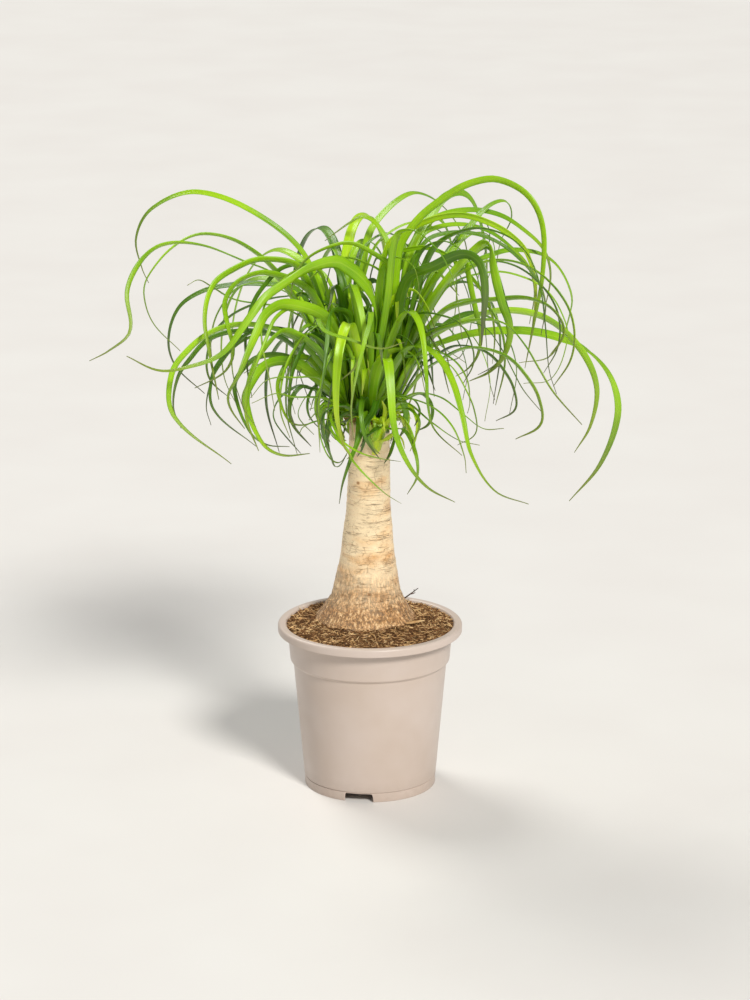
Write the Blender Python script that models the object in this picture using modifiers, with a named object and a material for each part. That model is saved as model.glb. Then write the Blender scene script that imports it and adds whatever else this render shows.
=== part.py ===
"""A potted ponytail palm: a swollen corky trunk with three leafy heads and two young shoots on
its cut top, long strap leaves that arch over and hang, and a round plastic nursery pot of soil.

Metres, +Z up. The origin is on the pot's axis, on the surface that the pot stands on, and the
front of the plant faces -Y. Leaf routes are in centimetres, because they are easier to read so.
"""

from math import cos, pi, radians, sin
from typing import NamedTuple

import bmesh
import bpy
from mathutils import Matrix, Vector
from mathutils.geometry import interpolate_bezier

CM = 0.01
GAP = 0.0003  # between pieces that touch

# Pot: the outer radii from top to bottom, and the heights where they change.
POT_HEIGHT = 0.155
POT_WALL = 0.0016
RIM_RADIUS = 0.085
RIM_DROP = 0.0076
RIM_ROOF = 0.0022
COLLAR_TOP_RADIUS = 0.0758
COLLAR_FOOT_RADIUS = 0.0737
STEP_HEIGHT = 0.1208
STEP_DROP = 0.0026
BODY_TOP_RADIUS = 0.0708
BODY_FOOT_RADIUS = 0.0611
FOOT_RADIUS = 0.0607
FOOT_HEIGHT = 0.0088
FOOT_WALL = 0.0026
FLOOR_THICKNESS = 0.002
NOTCH_WIDTH = 0.027
NOTCH_HEIGHT = 0.008
NOTCH_ANGLES = (-100, 20, 140)
DRAIN_RADIUS = 0.0055
DRAIN_CIRCLE = 0.043
DRAIN_COUNT = 6

# Soil: it is heaped towards the trunk.
SOIL_EDGE_HEIGHT = POT_HEIGHT - 0.0045
SOIL_HEAP_HEIGHT = POT_HEIGHT + 0.003
SOIL_HEAP_RADIUS = 0.052

# Trunk: radius and height of its outline, from the cut top to the buried underside.
TRUNK_X, TRUNK_Y = -0.0060, 0.010
TRUNK_LEAN = 1.0  # degrees towards +X
TRUNK_TOP = 0.3455
TRUNK_OUTLINE = (
    (0.0150, TRUNK_TOP),
    (0.0183, 0.3430),
    (0.0187, 0.3250),
    (0.0190, 0.3020),
    (0.0195, 0.2830),
    (0.0206, 0.2600),
    (0.0224, 0.2417),
    (0.0241, 0.2258),
    (0.0276, 0.2028),
    (0.0325, 0.1796),
    (0.0382, 0.1695),
    (0.0450, 0.1590),
    (0.0500, 0.1430),
    (0.0490, 0.1250),
    (0.0400, 0.1080),
    (0.0220, 0.0990),
)
TRUNK_LOWEST = 0.0975
TRUNK_WIDEST_AT = 0.1430

# Leaves: flat straps, widest a third of the way up, that taper to a thin tip.
LEAF_THICKNESS = 0.0009
LEAF_STEPS = 15
LEAF_BASE_SHARE = 0.62
LEAF_TIP_SHARE = 0.10
LEAF_WIDEST_AT = 0.3
ROUTE_SCALE = 0.98  # the routes are drawn for a slightly larger plant than stands in this pot


class Head(NamedTuple):
    """A stout bud of sheathing leaf bases: foot and top in centimetres, radii at both."""

    foot: tuple
    top: tuple
    foot_radius: float
    top_radius: float
    colour: tuple

    def at(self, rise):
        """The point on the head's axis this many centimetres above its foot."""
        foot, top = Vector(self.foot), Vector(self.top)
        return foot + (top - foot) * rise / (top - foot).length

    def radius(self, rise):
        share = rise / (Vector(self.top) - Vector(self.foot)).length
        return self.foot_radius + (self.top_radius - self.foot_radius) * share


class Leaf(NamedTuple):
    """One leaf: the head it grows from and how far up, its width in centimetres, its roll in
    degrees at even shares of its length, and the route of its midrib after it leaves the head."""

    head: str
    rise: float
    width: float
    roll: tuple
    route: tuple


GREEN = (0.16, 0.42, 0.03)
YOUNG_GREEN = (0.42, 0.60, 0.05)

HEADS = {
    "head_right": Head((0.95, 1.40, 34.72), (2.35, 1.75, 41.2), 1.00, 0.62, GREEN),
    "head_left": Head((-1.35, 1.40, 34.74), (-2.70, 1.10, 40.6), 0.98, 0.60, GREEN),
    "head_front": Head((-0.15, -0.35, 34.72), (0.25, -1.55, 40.9), 0.88, 0.55, GREEN),
    "shoot_front": Head((0.55, -1.30, 32.3), (0.95, -2.10, 34.4), 0.30, 0.20, YOUNG_GREEN),
    "shoot_left": Head((-2.50, 0.30, 32.9), (-3.30, -0.10, 34.9), 0.30, 0.20, YOUNG_GREEN),
}

LEAVES = {
    # Left side, from the highest arch down.
    "leaf_left_01": Leaf("head_left", 5.2, 0.95, (0, 40, 75, 70), (
        (-5.6, 1.5, 49.9), (-9.7, 2.0, 54.0), (-15.8, 3.5, 56.2), (-20.1, 4.5, 54.5),
        (-21.7, 5.0, 51.6), (-21.2, 5.0, 48.7), (-20.6, 5.0, 47.3))),
    "leaf_left_02": Leaf("head_left", 4.4, 0.85, (0, 30, 80, 90), (
        (-8.0, -1.0, 48.9), (-11.5, -3.0, 52.6), (-15.0, -4.0, 53.8), (-17.6, -5.0, 52.9),
        (-19.9, -6.0, 50.4), (-20.3, -6.5, 48.8), (-19.5, -7.0, 46.3), (-17.1, -7.0, 43.7))),
    "leaf_left_03": Leaf("head_left", 3.4, 0.95, (0, 20, 20, 80, 100), (
        (-8.4, -2.5, 49.3), (-11.6, -5.0, 51.6), (-15.1, -8.0, 53.6), (-18.2, -10.5, 54.2),
        (-20.1, -12.5, 53.2), (-21.3, -14.0, 50.8), (-21.0, -15.8, 47.6), (-22.8, -16.8, 46.1),
        (-24.5, -17.3, 45.3))),
    "leaf_left_04": Leaf("head_left", 2.6, 0.85, (0, 30, 60, 60), (
        (-6.3, -4.4, 50.6), (-9.6, -5.6, 51.8), (-12.2, -7.0, 51.2), (-14.0, -8.2, 50.0),
        (-14.7, -9.8, 47.4), (-14.2, -11.0, 44.1), (-13.5, -11.0, 40.2))),
    "leaf_left_05": Leaf("head_left", 3.9, 0.80, (0, 20, 30, 40), (
        (-6.4, 2.5, 46.9), (-10.0, 3.5, 47.5), (-12.9, 5.0, 47.1), (-15.8, 6.5, 46.1),
        (-18.0, 7.5, 44.3), (-19.0, 8.0, 41.2), (-18.4, 8.5, 38.5), (-15.7, 8.5, 35.8))),
    "leaf_left_06": Leaf("head_left", 1.95, 0.75, (0, 10, 20, 20), (
        (-5.8, -2.3, 42.8), (-8.1, -4.5, 44.9), (-11.3, -7.0, 46.1), (-13.9, -8.5, 45.9),
        (-16.0, -9.5, 44.6), (-17.7, -10.5, 42.4), (-17.5, -11.5, 38.8), (-12.4, -12.0, 34.5))),
    "leaf_left_07": Leaf("head_left", 1.4, 0.70, (0, 10, 20, 20), (
        (-6.4, -0.5, 41.9), (-9.0, -1.5, 43.9), (-12.5, -3.0, 44.5), (-14.7, -4.0, 44.0),
        (-16.3, -5.5, 42.6), (-17.4, -6.0, 41.0), (-17.8, -7.0, 38.5), (-17.1, -7.5, 36.6))),
    "leaf_left_08": Leaf("head_left", 2.28, 1.05, (0, 0, 30, 60), (
        (-3.8, -5.0, 46.0), (-7.2, -7.5, 48.1), (-9.1, -10.0, 47.9), (-10.1, -11.5, 46.3),
        (-11.6, -13.5, 43.0), (-12.5, -14.0, 41.4), (-12.3, -14.0, 40.1), (-11.1, -14.0, 38.3))),
    "leaf_left_09": Leaf("head_left", 0.5, 0.85, (0, 0, 20, 20), (
        (-4.2, -3.7, 42.3), (-7.2, -5.5, 45.1), (-8.5, -7.0, 45.0), (-10.5, -9.0, 42.5),
        (-11.1, -10.5, 38.7), (-10.0, -10.5, 35.3))),
    "leaf_left_10": Leaf("head_left", 1.0, 0.90, (0, 30, 40, 30), (
        (-6.4, -2.5, 41.2), (-9.2, -5.0, 42.0), (-10.9, -7.0, 40.3), (-11.1, -7.0, 38.5),
        (-9.7, -6.5, 34.9), (-8.0, -6.0, 33.7), (-5.5, -5.5, 33.7))),
    "leaf_left_11": Leaf("head_left", 0.3, 0.60, (0, 10, 10, 10), (
        (-4.6, 0.5, 37.8), (-6.2, -0.8, 38.8), (-7.3, -2.0, 37.6), (-7.1, -2.8, 35.8),
        (-5.4, -3.4, 33.8))),
    "leaf_left_12": Leaf("head_left", 1.2, 0.60, (0, 10, 10, 10), (
        (-6.4, 2.1, 38.1), (-7.6, 2.4, 37.5), (-8.4, 2.6, 36.8), (-9.0, 3.0, 35.4),
        (-8.7, 3.0, 34.2), (-6.5, 3.0, 31.4))),
    "leaf_left_13": Leaf("head_left", 3.4, 0.75, (0, 10, 40, 40), (
        (-6.5, 5.5, 45.5), (-9.5, 8.0, 47.0), (-12.5, 10.5, 45.5), (-14.0, 12.0, 41.5),
        (-14.0, 12.5, 36.5), (-12.5, 12.5, 33.0))),
    # Towards the viewer.
    "leaf_front_01": Leaf("head_front", 5.4, 1.15, (0, 10, 30, 60), (
        (0.5, -3.2, 47.5), (-2.4, -6.0, 51.5), (-4.9, -7.5, 51.6), (-7.3, -9.0, 50.5),
        (-9.3, -10.5, 49.4), (-10.9, -11.5, 47.5), (-13.1, -12.5, 44.8), (-16.1, -13.0, 43.7),
        (-18.7, -13.5, 43.5), (-21.5, -13.5, 44.8))),
    "leaf_front_02": Leaf("head_front", 1.2, 0.65, (0, 10, 0, 0), (
        (-1.9, -4.6, 43.2), (-2.9, -7.5, 44.3), (-4.0, -9.0, 42.7), (-4.6, -9.5, 39.0),
        (-4.5, -9.5, 34.9))),
    "leaf_front_03": Leaf("head_front", 2.2, 1.00, (0, 0, 0, 10), (
        (-1.4, -4.9, 44.2), (-2.0, -7.0, 46.2), (-2.8, -9.5, 43.8), (-3.0, -10.0, 38.9),
        (-1.9, -9.5, 34.4))),
    "leaf_front_04": Leaf("head_front", 0.9, 1.00, (0, 0, 0, 20), (
        (0.6, -4.5, 41.2), (1.5, -7.3, 43.0), (1.8, -9.0, 41.6), (2.2, -10.5, 37.4),
        (3.4, -10.5, 34.2), (5.2, -10.5, 31.9), (7.7, -10.5, 30.5))),
    "leaf_front_05": Leaf("head_front", 2.8, 0.90, (0, 0, 20, 40), (
        (2.2, -4.2, 44.6), (3.5, -6.5, 47.2), (4.5, -8.5, 46.3), (5.0, -10.5, 42.7),
        (5.2, -11.0, 39.6), (5.8, -11.0, 37.4), (8.3, -11.0, 35.0))),
    "leaf_front_06": Leaf("head_front", 1.8, 1.20, (0, 10, 20, 40), (
        (3.4, -4.6, 43.2), (5.5, -9.0, 44.1), (6.6, -11.0, 43.3), (7.5, -13.0, 41.8),
        (8.2, -14.5, 39.5), (9.0, -15.8, 36.3), (11.1, -16.0, 33.1), (14.1, -16.0, 31.9))),
    "leaf_front_07": Leaf("head_front", 4.3, 0.75, (0, 0, 30, 60), (
        (-1.4, -4.4, 48.0), (-1.5, -7.0, 49.8), (-0.9, -8.7, 48.4), (-0.5, -9.8, 45.5),
        (-1.2, -10.0, 43.1), (-2.6, -9.5, 41.6))),
    "leaf_front_08": Leaf("head_front", 4.1, 0.70, (0, 0, 20, 40), (
        (1.7, -4.6, 48.4), (2.4, -6.5, 54.1), (3.8, -8.2, 55.0), (5.2, -9.7, 54.4),
        (6.5, -11.0, 53.1), (7.5, -12.0, 50.9), (8.2, -12.5, 46.0))),
    "leaf_front_09": Leaf("head_front", 3.3, 0.85, (0, 0, 10, 20), (
        (0.1, -6.6, 46.8), (0.0, -12.0, 47.4), (-0.8, -15.8, 45.2), (-1.6, -17.6, 41.4),
        (-1.4, -17.9, 38.2))),
    "leaf_front_10": Leaf("head_front", 0.4, 0.60, (0, 0, 10, 20), (
        (-0.3, -3.0, 38.0), (-0.6, -4.8, 38.7), (-0.8, -6.4, 37.6), (-0.3, -7.0, 35.4),
        (1.0, -6.8, 33.4))),
    # Right side, from the highest arch down.
    "leaf_right_01": Leaf("head_right", 5.9, 0.95, (0, 40, 60, 60), (
        (2.6, 0.3, 51.0), (4.2, -0.5, 54.2), (7.0, -1.0, 56.7), (9.2, -1.5, 58.0),
        (11.6, -2.0, 58.4), (14.3, -3.0, 57.1), (15.6, -3.6, 54.4), (15.6, -4.5, 50.1),
        (14.9, -5.0, 46.0), (14.1, -5.0, 41.6))),
    "leaf_right_02": Leaf("head_right", 1.4, 0.90, (0, 20, 40, 60), (
        (4.8, 2.6, 41.1), (6.9, 4.2, 41.8), (9.6, 6.3, 42.1), (12.4, 8.4, 41.9),
        (15.3, 10.2, 41.4), (18.3, 12.0, 40.3), (21.1, 14.0, 38.4), (23.4, 15.8, 35.2),
        (24.1, 16.8, 31.4), (22.5, 17.0, 26.5), (19.5, 16.5, 22.9))),
    "leaf_right_03": Leaf("head_right", 1.1, 0.80, (0, 20, 40, 60), (
        (5.1, 0.7, 42.3), (8.8, 1.2, 44.6), (12.7, 3.0, 45.1), (16.4, 4.5, 44.0),
        (19.7, 6.0, 40.8), (21.4, 7.0, 36.9), (20.9, 7.0, 33.1), (19.4, 7.0, 30.4))),
    "leaf_right_04": Leaf("head_right", 5.7, 0.90, (0, 20, 40, 60), (
        (0.9, 2.6, 48.0), (1.8, 3.0, 51.6), (3.7, 3.5, 52.8), (6.0, 4.0, 53.7),
        (8.4, 4.5, 53.9), (10.7, 5.0, 53.2), (12.9, 5.5, 51.9), (14.6, 6.0, 50.0),
        (15.5, 6.0, 46.6), (15.2, 6.0, 42.9))),
    "leaf_right_05": Leaf("head_right", 4.3, 0.75, (0, 20, 40, 60), (
        (3.4, 3.4, 49.2), (4.8, 4.8, 52.4), (6.5, 6.1, 53.4), (9.4, 8.0, 53.6),
        (12.2, 9.0, 52.9), (14.6, 10.0, 51.2), (16.4, 10.5, 49.3), (17.1, 11.0, 46.7),
        (16.6, 11.0, 43.4))),
    "leaf_right_06": Leaf("head_right", 4.4, 1.00, (0, 40, 30, 60), (
        (6.0, 2.7, 48.2), (8.6, 5.6, 51.5), (10.9, 8.0, 53.8), (12.7, 9.6, 54.1),
        (13.3, 10.6, 52.4), (12.3, 11.0, 49.9), (11.9, 10.5, 47.4))),
    "leaf_right_07": Leaf("head_right", 4.2, 1.15, (0, 40, 20, 50), (
        (5.3, -1.6, 46.4), (7.5, -3.5, 50.0), (9.8, -5.0, 52.8), (10.6, -6.0, 53.3),
        (11.0, -7.0, 51.6), (11.8, -8.0, 48.4), (12.6, -8.0, 45.9), (12.1, -8.0, 43.6),
        (10.8, -7.5, 41.9), (9.0, -7.0, 40.9))),
    "leaf_right_08": Leaf("head_right", 4.9, 1.05, (0, 0, 0, 30), (
        (4.6, -3.7, 49.4), (7.2, -7.0, 52.7), (8.7, -9.0, 53.4), (9.8, -10.6, 53.0),
        (10.3, -12.0, 50.4), (10.0, -12.0, 48.1), (9.6, -12.0, 45.3))),
    "leaf_right_09": Leaf("head_right", 3.9, 0.65, (0, 20, 40, 60), (
        (7.5, 4.8, 47.6), (11.9, 8.0, 49.5), (15.2, 11.0, 49.0), (17.4, 13.0, 47.6),
        (18.9, 14.0, 45.2), (19.3, 14.5, 42.9), (17.5, 14.0, 38.3), (14.3, 13.0, 37.7))),
    "leaf_right_10": Leaf("head_right", 3.3, 0.80, (0, 20, 40, 60), (
        (6.6, -0.2, 47.8), (9.1, -1.8, 50.1), (11.3, -3.3, 51.2), (13.6, -4.6, 51.2),
        (15.8, -5.7, 50.1), (17.7, -6.7, 47.9), (18.4, -7.2, 45.5), (18.1, -7.2, 42.9),
        (16.6, -7.0, 40.4))),
    "leaf_right_11": Leaf("head_right", 2.5, 0.95, (0, 20, 40, 60), (
        (6.2, -1.9, 45.6), (8.6, -3.5, 47.2), (11.7, -5.1, 48.0), (14.3, -6.5, 48.4),
        (16.4, -7.8, 47.7), (17.4, -8.6, 45.8), (16.0, -8.6, 43.4))),
    "leaf_right_12": Leaf("head_right", 1.2, 0.95, (0, 20, 30, 60), (
        (5.0, -2.4, 43.6), (7.7, -5.2, 45.6), (10.3, -7.7, 46.7), (12.2, -9.6, 46.7),
        (13.8, -11.1, 45.2), (15.1, -12.1, 43.2), (16.4, -12.7, 41.2), (18.9, -13.0, 38.4))),
    "leaf_right_13": Leaf("head_right", 5.15, 0.80, (0, 30, 40, 40), (
        (5.5, -0.3, 51.1), (9.1, -3.4, 54.1), (12.2, -5.6, 54.0), (14.2, -7.5, 52.5),
        (15.2, -8.6, 49.9), (15.7, -9.0, 46.4), (16.1, -9.0, 42.4), (16.8, -9.0, 40.2))),
    "leaf_right_14": Leaf("head_right", 0.3, 0.90, (0, 20, 60, 60), (
        (4.9, -0.6, 40.0), (6.5, -3.4, 41.9), (8.5, -6.0, 43.6), (10.4, -8.2, 44.1),
        (12.4, -9.8, 43.7), (14.0, -10.7, 42.2), (15.1, -11.0, 40.3), (15.3, -11.0, 37.9),
        (13.1, -10.5, 36.4))),
    "leaf_right_15": Leaf("head_right", 2.6, 0.75, (0, 10, 30, 40), (
        (6.2, 5.4, 42.4), (9.6, 8.4, 43.6), (12.4, 11.0, 41.6), (14.0, 12.4, 37.4),
        (13.4, 12.6, 32.6))),
    # Over the top.
    "leaf_top_01": Leaf("head_left", 6.0, 1.00, (0, 10, 20, 20), (
        (-0.7, 3.6, 48.8), (0.0, 5.5, 51.9), (1.3, 7.0, 53.5), (2.9, 8.5, 54.6),
        (4.3, 10.0, 54.8), (6.2, 12.0, 53.7), (7.8, 13.0, 51.9), (9.0, 13.6, 49.5),
        (9.4, 13.8, 46.8))),
    "leaf_top_02": Leaf("head_left", 4.4, 0.95, (0, 0, 10, 20), (
        (-2.3, 4.6, 48.4), (-1.9, 7.0, 51.2), (-1.2, 9.0, 52.5), (-0.2, 11.3, 52.4),
        (0.7, 13.2, 51.0), (1.3, 14.4, 48.7), (1.9, 15.3, 42.5))),
    "leaf_top_03": Leaf("head_right", 5.9, 0.85, (0, 10, 20, 20), (
        (1.8, 4.2, 47.5), (3.6, 6.6, 49.7), (5.2, 7.8, 52.1), (6.6, 9.2, 54.2),
        (8.1, 10.0, 54.9), (9.5, 11.5, 53.9), (10.5, 12.7, 51.2), (11.1, 13.4, 47.0),
        (10.6, 13.5, 41.5))),
    "leaf_top_04": Leaf("head_right", 5.4, 0.65, (0, 10, 20, 30), (
        (1.6, -2.0, 48.8), (1.7, -4.0, 50.9), (0.2, -5.0, 52.3), (-1.8, -5.5, 53.3),
        (-3.8, -6.0, 53.0), (-5.6, -6.5, 52.1), (-6.7, -7.0, 50.7), (-7.1, -7.0, 48.8))),
    # Away from the viewer.
    "leaf_back_01": Leaf("head_left", 2.6, 0.85, (0, 10, 20, 30), (
        (-4.5, 6.0, 46.5), (-8.0, 11.0, 49.0), (-11.0, 15.0, 47.0), (-13.0, 17.0, 42.0),
        (-13.4, 17.5, 36.0), (-12.2, 17.4, 31.4))),
    "leaf_back_02": Leaf("head_left", 3.5, 0.90, (0, 0, 20, 30), (
        (-2.7, 6.0, 48.0), (-4.2, 11.4, 51.0), (-6.2, 15.4, 49.2), (-7.4, 17.4, 44.0),
        (-7.2, 17.5, 37.0), (-5.8, 17.0, 32.5))),
    "leaf_back_03": Leaf("head_right", 3.1, 0.90, (0, 0, 20, 30), (
        (2.2, 7.0, 47.0), (3.2, 12.4, 49.4), (4.4, 16.2, 46.5), (4.9, 17.6, 40.5),
        (4.3, 17.6, 34.0), (2.8, 16.9, 30.5))),
    "leaf_back_04": Leaf("head_right", 3.5, 0.80, (0, 0, 20, 30), (
        (4.6, 5.6, 44.4), (8.4, 11.0, 46.0), (11.4, 15.2, 43.4), (12.6, 17.2, 38.4),
        (12.0, 17.4, 32.5))),
    "leaf_back_05": Leaf("head_left", 0.7, 0.75, (0, 0, 10, 30), (
        (-4.0, 4.8, 40.4), (-7.0, 9.0, 41.4), (-9.4, 12.5, 38.4), (-10.0, 14.0, 33.4),
        (-8.8, 14.0, 28.5))),
    "leaf_back_06": Leaf("head_left", 1.6, 0.75, (0, 0, 10, 30), (
        (-1.0, 5.2, 41.0), (-1.6, 10.0, 42.4), (-1.8, 13.8, 39.4), (-1.4, 15.4, 34.0),
        (-0.2, 15.2, 29.4))),
}

TWIG = ((2.4, 6.0, 15.48), (3.3, 6.0, 15.92), (4.0, 5.85, 16.5), (4.5, 5.7, 16.96))
SPLINTER = ((3.35, -2.1, 16.05), (4.1, -1.85, 16.2), (4.95, -1.5, 15.98))


def collection(name):
    """A new collection in the scene."""
    made = bpy.data.collections.new(name)
    bpy.context.scene.collection.children.link(made)
    return made


def material(name, colour, roughness, metallic=0.0):
    made = bpy.data.materials.new(name)
    made.use_nodes = True
    shader = made.node_tree.nodes["Principled BSDF"]
    shader.inputs["Base Color"].default_value = (*colour, 1)
    shader.inputs["Roughness"].default_value = roughness
    shader.inputs["Metallic"].default_value = metallic
    return made


def add(name, data, into, look=None):
    """An object of this mesh or curve in a collection, with its material."""
    made = bpy.data.objects.new(name, data)
    into.objects.link(made)
    if look:
        data.materials.append(look)
    return made


def mesh_of(name, bm, smooth=True):
    """A mesh data block from a bmesh, which is freed."""
    bmesh.ops.recalc_face_normals(bm, faces=bm.faces)
    mesh = bpy.data.meshes.new(name)
    bm.to_mesh(mesh)
    bm.free()
    if smooth:
        mesh.shade_smooth()
        mesh.set_sharp_from_angle(angle=radians(35))
    return mesh


def turned(name, outline, steps, into, look):
    """A turned piece: its outline runs from the top of the axis down the outer side."""
    bm = bmesh.new()
    line = [bm.verts.new((radius, 0, height)) for radius, height in outline]
    for upper, lower in zip(line, line[1:]):
        bm.edges.new((upper, lower))
    mesh = bpy.data.meshes.new(name)
    bm.to_mesh(mesh)
    bm.free()
    made = add(name, mesh, into, look)
    screw = made.modifiers.new("Turn", "SCREW")
    screw.steps = screw.render_steps = steps
    screw.use_merge_vertices = True
    screw.merge_threshold = 1e-5
    screw.use_smooth_shade = True
    return made


def cut(target, cutters):
    """Cuts a collection of closed meshes from the target."""
    boolean = target.modifiers.new("Cut", "BOOLEAN")
    boolean.operation = "DIFFERENCE"
    boolean.solver = "EXACT"
    boolean.operand_type = "COLLECTION"
    boolean.collection = cutters
    for cutter in cutters.objects:
        cutter.hide_render = True
        cutter.display_type = "WIRE"


def rounded(corner, before, after, radius, steps=3):
    """Points of an arc that rounds a corner of an outline."""
    corner, before, after = Vector(corner), Vector(before), Vector(after)
    start = corner + (before - corner).normalized() * radius
    end = corner + (after - corner).normalized() * radius
    return [tuple(p) for p in interpolate_bezier(
        start, start.lerp(corner, 0.55), end.lerp(corner, 0.55), end, steps + 1)]


def pot(into, cutters):
    """A thin shell with a rim turned out and down, a stepped collar, and a notched foot ring."""
    floor_top = FOOT_HEIGHT + FLOOR_THICKNESS
    top = (RIM_RADIUS, POT_HEIGHT)
    inner_top = (COLLAR_TOP_RADIUS - POT_WALL, POT_HEIGHT)
    rim_foot = (RIM_RADIUS, POT_HEIGHT - RIM_DROP)
    outline = [
        (0, floor_top),
        (BODY_FOOT_RADIUS - POT_WALL, floor_top),
        (BODY_TOP_RADIUS - POT_WALL, STEP_HEIGHT - 0.001),
        (COLLAR_FOOT_RADIUS - POT_WALL, STEP_HEIGHT + 0.001),
        *rounded(inner_top, (inner_top[0], 0), top, 0.0030, 2),
        *rounded(top, inner_top, rim_foot, 0.0022),
        *rounded(rim_foot, top, (0, rim_foot[1]), 0.0006, 1),
        (RIM_RADIUS - POT_WALL, POT_HEIGHT - RIM_DROP),
        (RIM_RADIUS - POT_WALL, POT_HEIGHT - RIM_ROOF),
        (COLLAR_TOP_RADIUS, POT_HEIGHT - RIM_ROOF),
        (COLLAR_FOOT_RADIUS, STEP_HEIGHT),
        (BODY_TOP_RADIUS, STEP_HEIGHT - STEP_DROP),
        (BODY_FOOT_RADIUS, FOOT_HEIGHT + 0.0004),
        (FOOT_RADIUS - 0.0005, FOOT_HEIGHT),
        *rounded((FOOT_RADIUS, 0), (FOOT_RADIUS, FOOT_HEIGHT), (0, 0), 0.0006, 1),
        (FOOT_RADIUS - FOOT_WALL, 0),
        (FOOT_RADIUS - FOOT_WALL, FOOT_HEIGHT),
        (0, FOOT_HEIGHT),
    ]
    shell = turned("pot", outline, 60, into, material("pot_plastic", (0.60, 0.53, 0.46), 0.45))
    for number, angle in enumerate(NOTCH_ANGLES):
        bm = bmesh.new()
        bmesh.ops.create_cube(bm, size=1)
        for vert in bm.verts:
            narrowing = 0.94 if vert.co.z > 0 else 1.0
            vert.co.x *= FOOT_WALL * 5
            vert.co.y *= NOTCH_WIDTH * narrowing
            vert.co.z = NOTCH_HEIGHT if vert.co.z > 0 else -0.002
        turn = Matrix.Rotation(radians(angle), 4, "Z")
        bmesh.ops.transform(bm, matrix=turn @ Matrix.Translation((FOOT_RADIUS, 0, 0)), verts=bm.verts)
        add(f"notch_cutter_{number}", mesh_of("notch_cutter", bm, smooth=False), cutters)
    for number in range(DRAIN_COUNT):
        angle = 2 * pi * (number + 0.5) / DRAIN_COUNT
        bm = bmesh.new()
        bmesh.ops.create_cone(bm, cap_ends=True, segments=12, radius1=DRAIN_RADIUS,
                              radius2=DRAIN_RADIUS, depth=0.012)
        centre = (DRAIN_CIRCLE * cos(angle), DRAIN_CIRCLE * sin(angle), floor_top)
        bmesh.ops.translate(bm, vec=centre, verts=bm.verts)
        add(f"drain_cutter_{number}", mesh_of("drain_cutter", bm, smooth=False), cutters)
    cut(shell, cutters)
    return shell


def place_trunk(made):
    made.location = (TRUNK_X, TRUNK_Y, 0)
    made.rotation_euler = (0, radians(TRUNK_LEAN), 0)


def trunk_outline(grown=0.0):
    """The trunk's outline, grown outwards all round for the hollow that it fills in the soil."""
    return [
        (0, TRUNK_TOP + grown),
        *((radius + grown, height - grown * (height < TRUNK_WIDEST_AT))
          for radius, height in TRUNK_OUTLINE),
        (0, TRUNK_LOWEST - grown),
    ]


def trunk(into):
    bark = material("trunk_bark", (0.62, 0.45, 0.29), 0.85)
    made = turned("trunk", trunk_outline(), 32, into, bark)
    place_trunk(made)
    return made


def soil(into, cutters):
    """Fills the pot to just under its rim, heaped up to the trunk, with the trunk's hollow."""
    inner = POT_WALL + GAP
    outline = [
        (0, SOIL_HEAP_HEIGHT),
        (SOIL_HEAP_RADIUS * 0.6, SOIL_HEAP_HEIGHT),
        (SOIL_HEAP_RADIUS, SOIL_HEAP_HEIGHT - 0.0022),
        (COLLAR_FOOT_RADIUS * 0.88, SOIL_EDGE_HEIGHT + 0.0024),
        (COLLAR_FOOT_RADIUS + 0.0018 - inner, SOIL_EDGE_HEIGHT),
        (COLLAR_FOOT_RADIUS - inner, STEP_HEIGHT + 0.0012),
        (BODY_TOP_RADIUS - inner, STEP_HEIGHT - 0.0008),
        (BODY_FOOT_RADIUS - inner, FOOT_HEIGHT + FLOOR_THICKNESS + GAP),
        (0, FOOT_HEIGHT + FLOOR_THICKNESS + GAP),
    ]
    fill = turned("soil", outline, 60, into, material("soil_fibre", (0.12, 0.065, 0.035), 0.95))
    place_trunk(turned("trunk_hollow", trunk_outline(GAP * 1.5), 32, cutters, None))
    cut(fill, cutters)
    return fill


def head(name, form, into):
    """A tapering bud of leaf bases with a blunt top."""
    foot, top = Vector(form.foot) * CM, Vector(form.top) * CM
    axis = top - foot
    bm = bmesh.new()
    bmesh.ops.create_cone(bm, cap_ends=True, segments=12, radius1=form.foot_radius * CM,
                          radius2=form.top_radius * CM, depth=axis.length)
    bmesh.ops.translate(bm, vec=(0, 0, axis.length / 2), verts=bm.verts)
    look = material(f"{name}_green", form.colour, 0.45)
    made = add(name, mesh_of(name, bm), into, look)
    made.location = foot
    made.rotation_euler = axis.to_track_quat("Z", "Y").to_euler()
    return made


def smooth_route(points, pieces=8):
    """Points on a smooth curve through the given ones."""
    first, last = points[0] * 2 - points[1], points[-1] * 2 - points[-2]
    line = [first, *points, last]
    curve = []
    for before, start, end, after in zip(line, line[1:], line[2:], line[3:]):
        reach = (end - start).length / 3
        leave = start + (end - before).normalized() * reach
        arrive = end - (after - start).normalized() * reach
        curve += interpolate_bezier(start, leave, arrive, end, pieces + 1)[:-1]
    return [*curve, points[-1]]


def even_points(curve, count):
    """Points at even steps along a curve, with the first and the last."""
    lengths = [0.0]
    for start, end in zip(curve, curve[1:]):
        lengths.append(lengths[-1] + (end - start).length)
    spaced, at = [], 0
    for number in range(count + 1):
        wanted = lengths[-1] * number / count
        while at < len(curve) - 2 and lengths[at + 1] < wanted:
            at += 1
        share = (wanted - lengths[at]) / (lengths[at + 1] - lengths[at])
        spaced.append(curve[at].lerp(curve[at + 1], share))
    return spaced


def leaf_width(share):
    """Width at this share of the length, against the widest."""
    if share < LEAF_WIDEST_AT:
        rise = share / LEAF_WIDEST_AT
        return LEAF_BASE_SHARE + (1 - LEAF_BASE_SHARE) * sin(rise * pi / 2)
    fall = (share - LEAF_WIDEST_AT) / (1 - LEAF_WIDEST_AT)
    return LEAF_TIP_SHARE + (1 - LEAF_TIP_SHARE) * (1 - fall**1.8)


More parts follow.
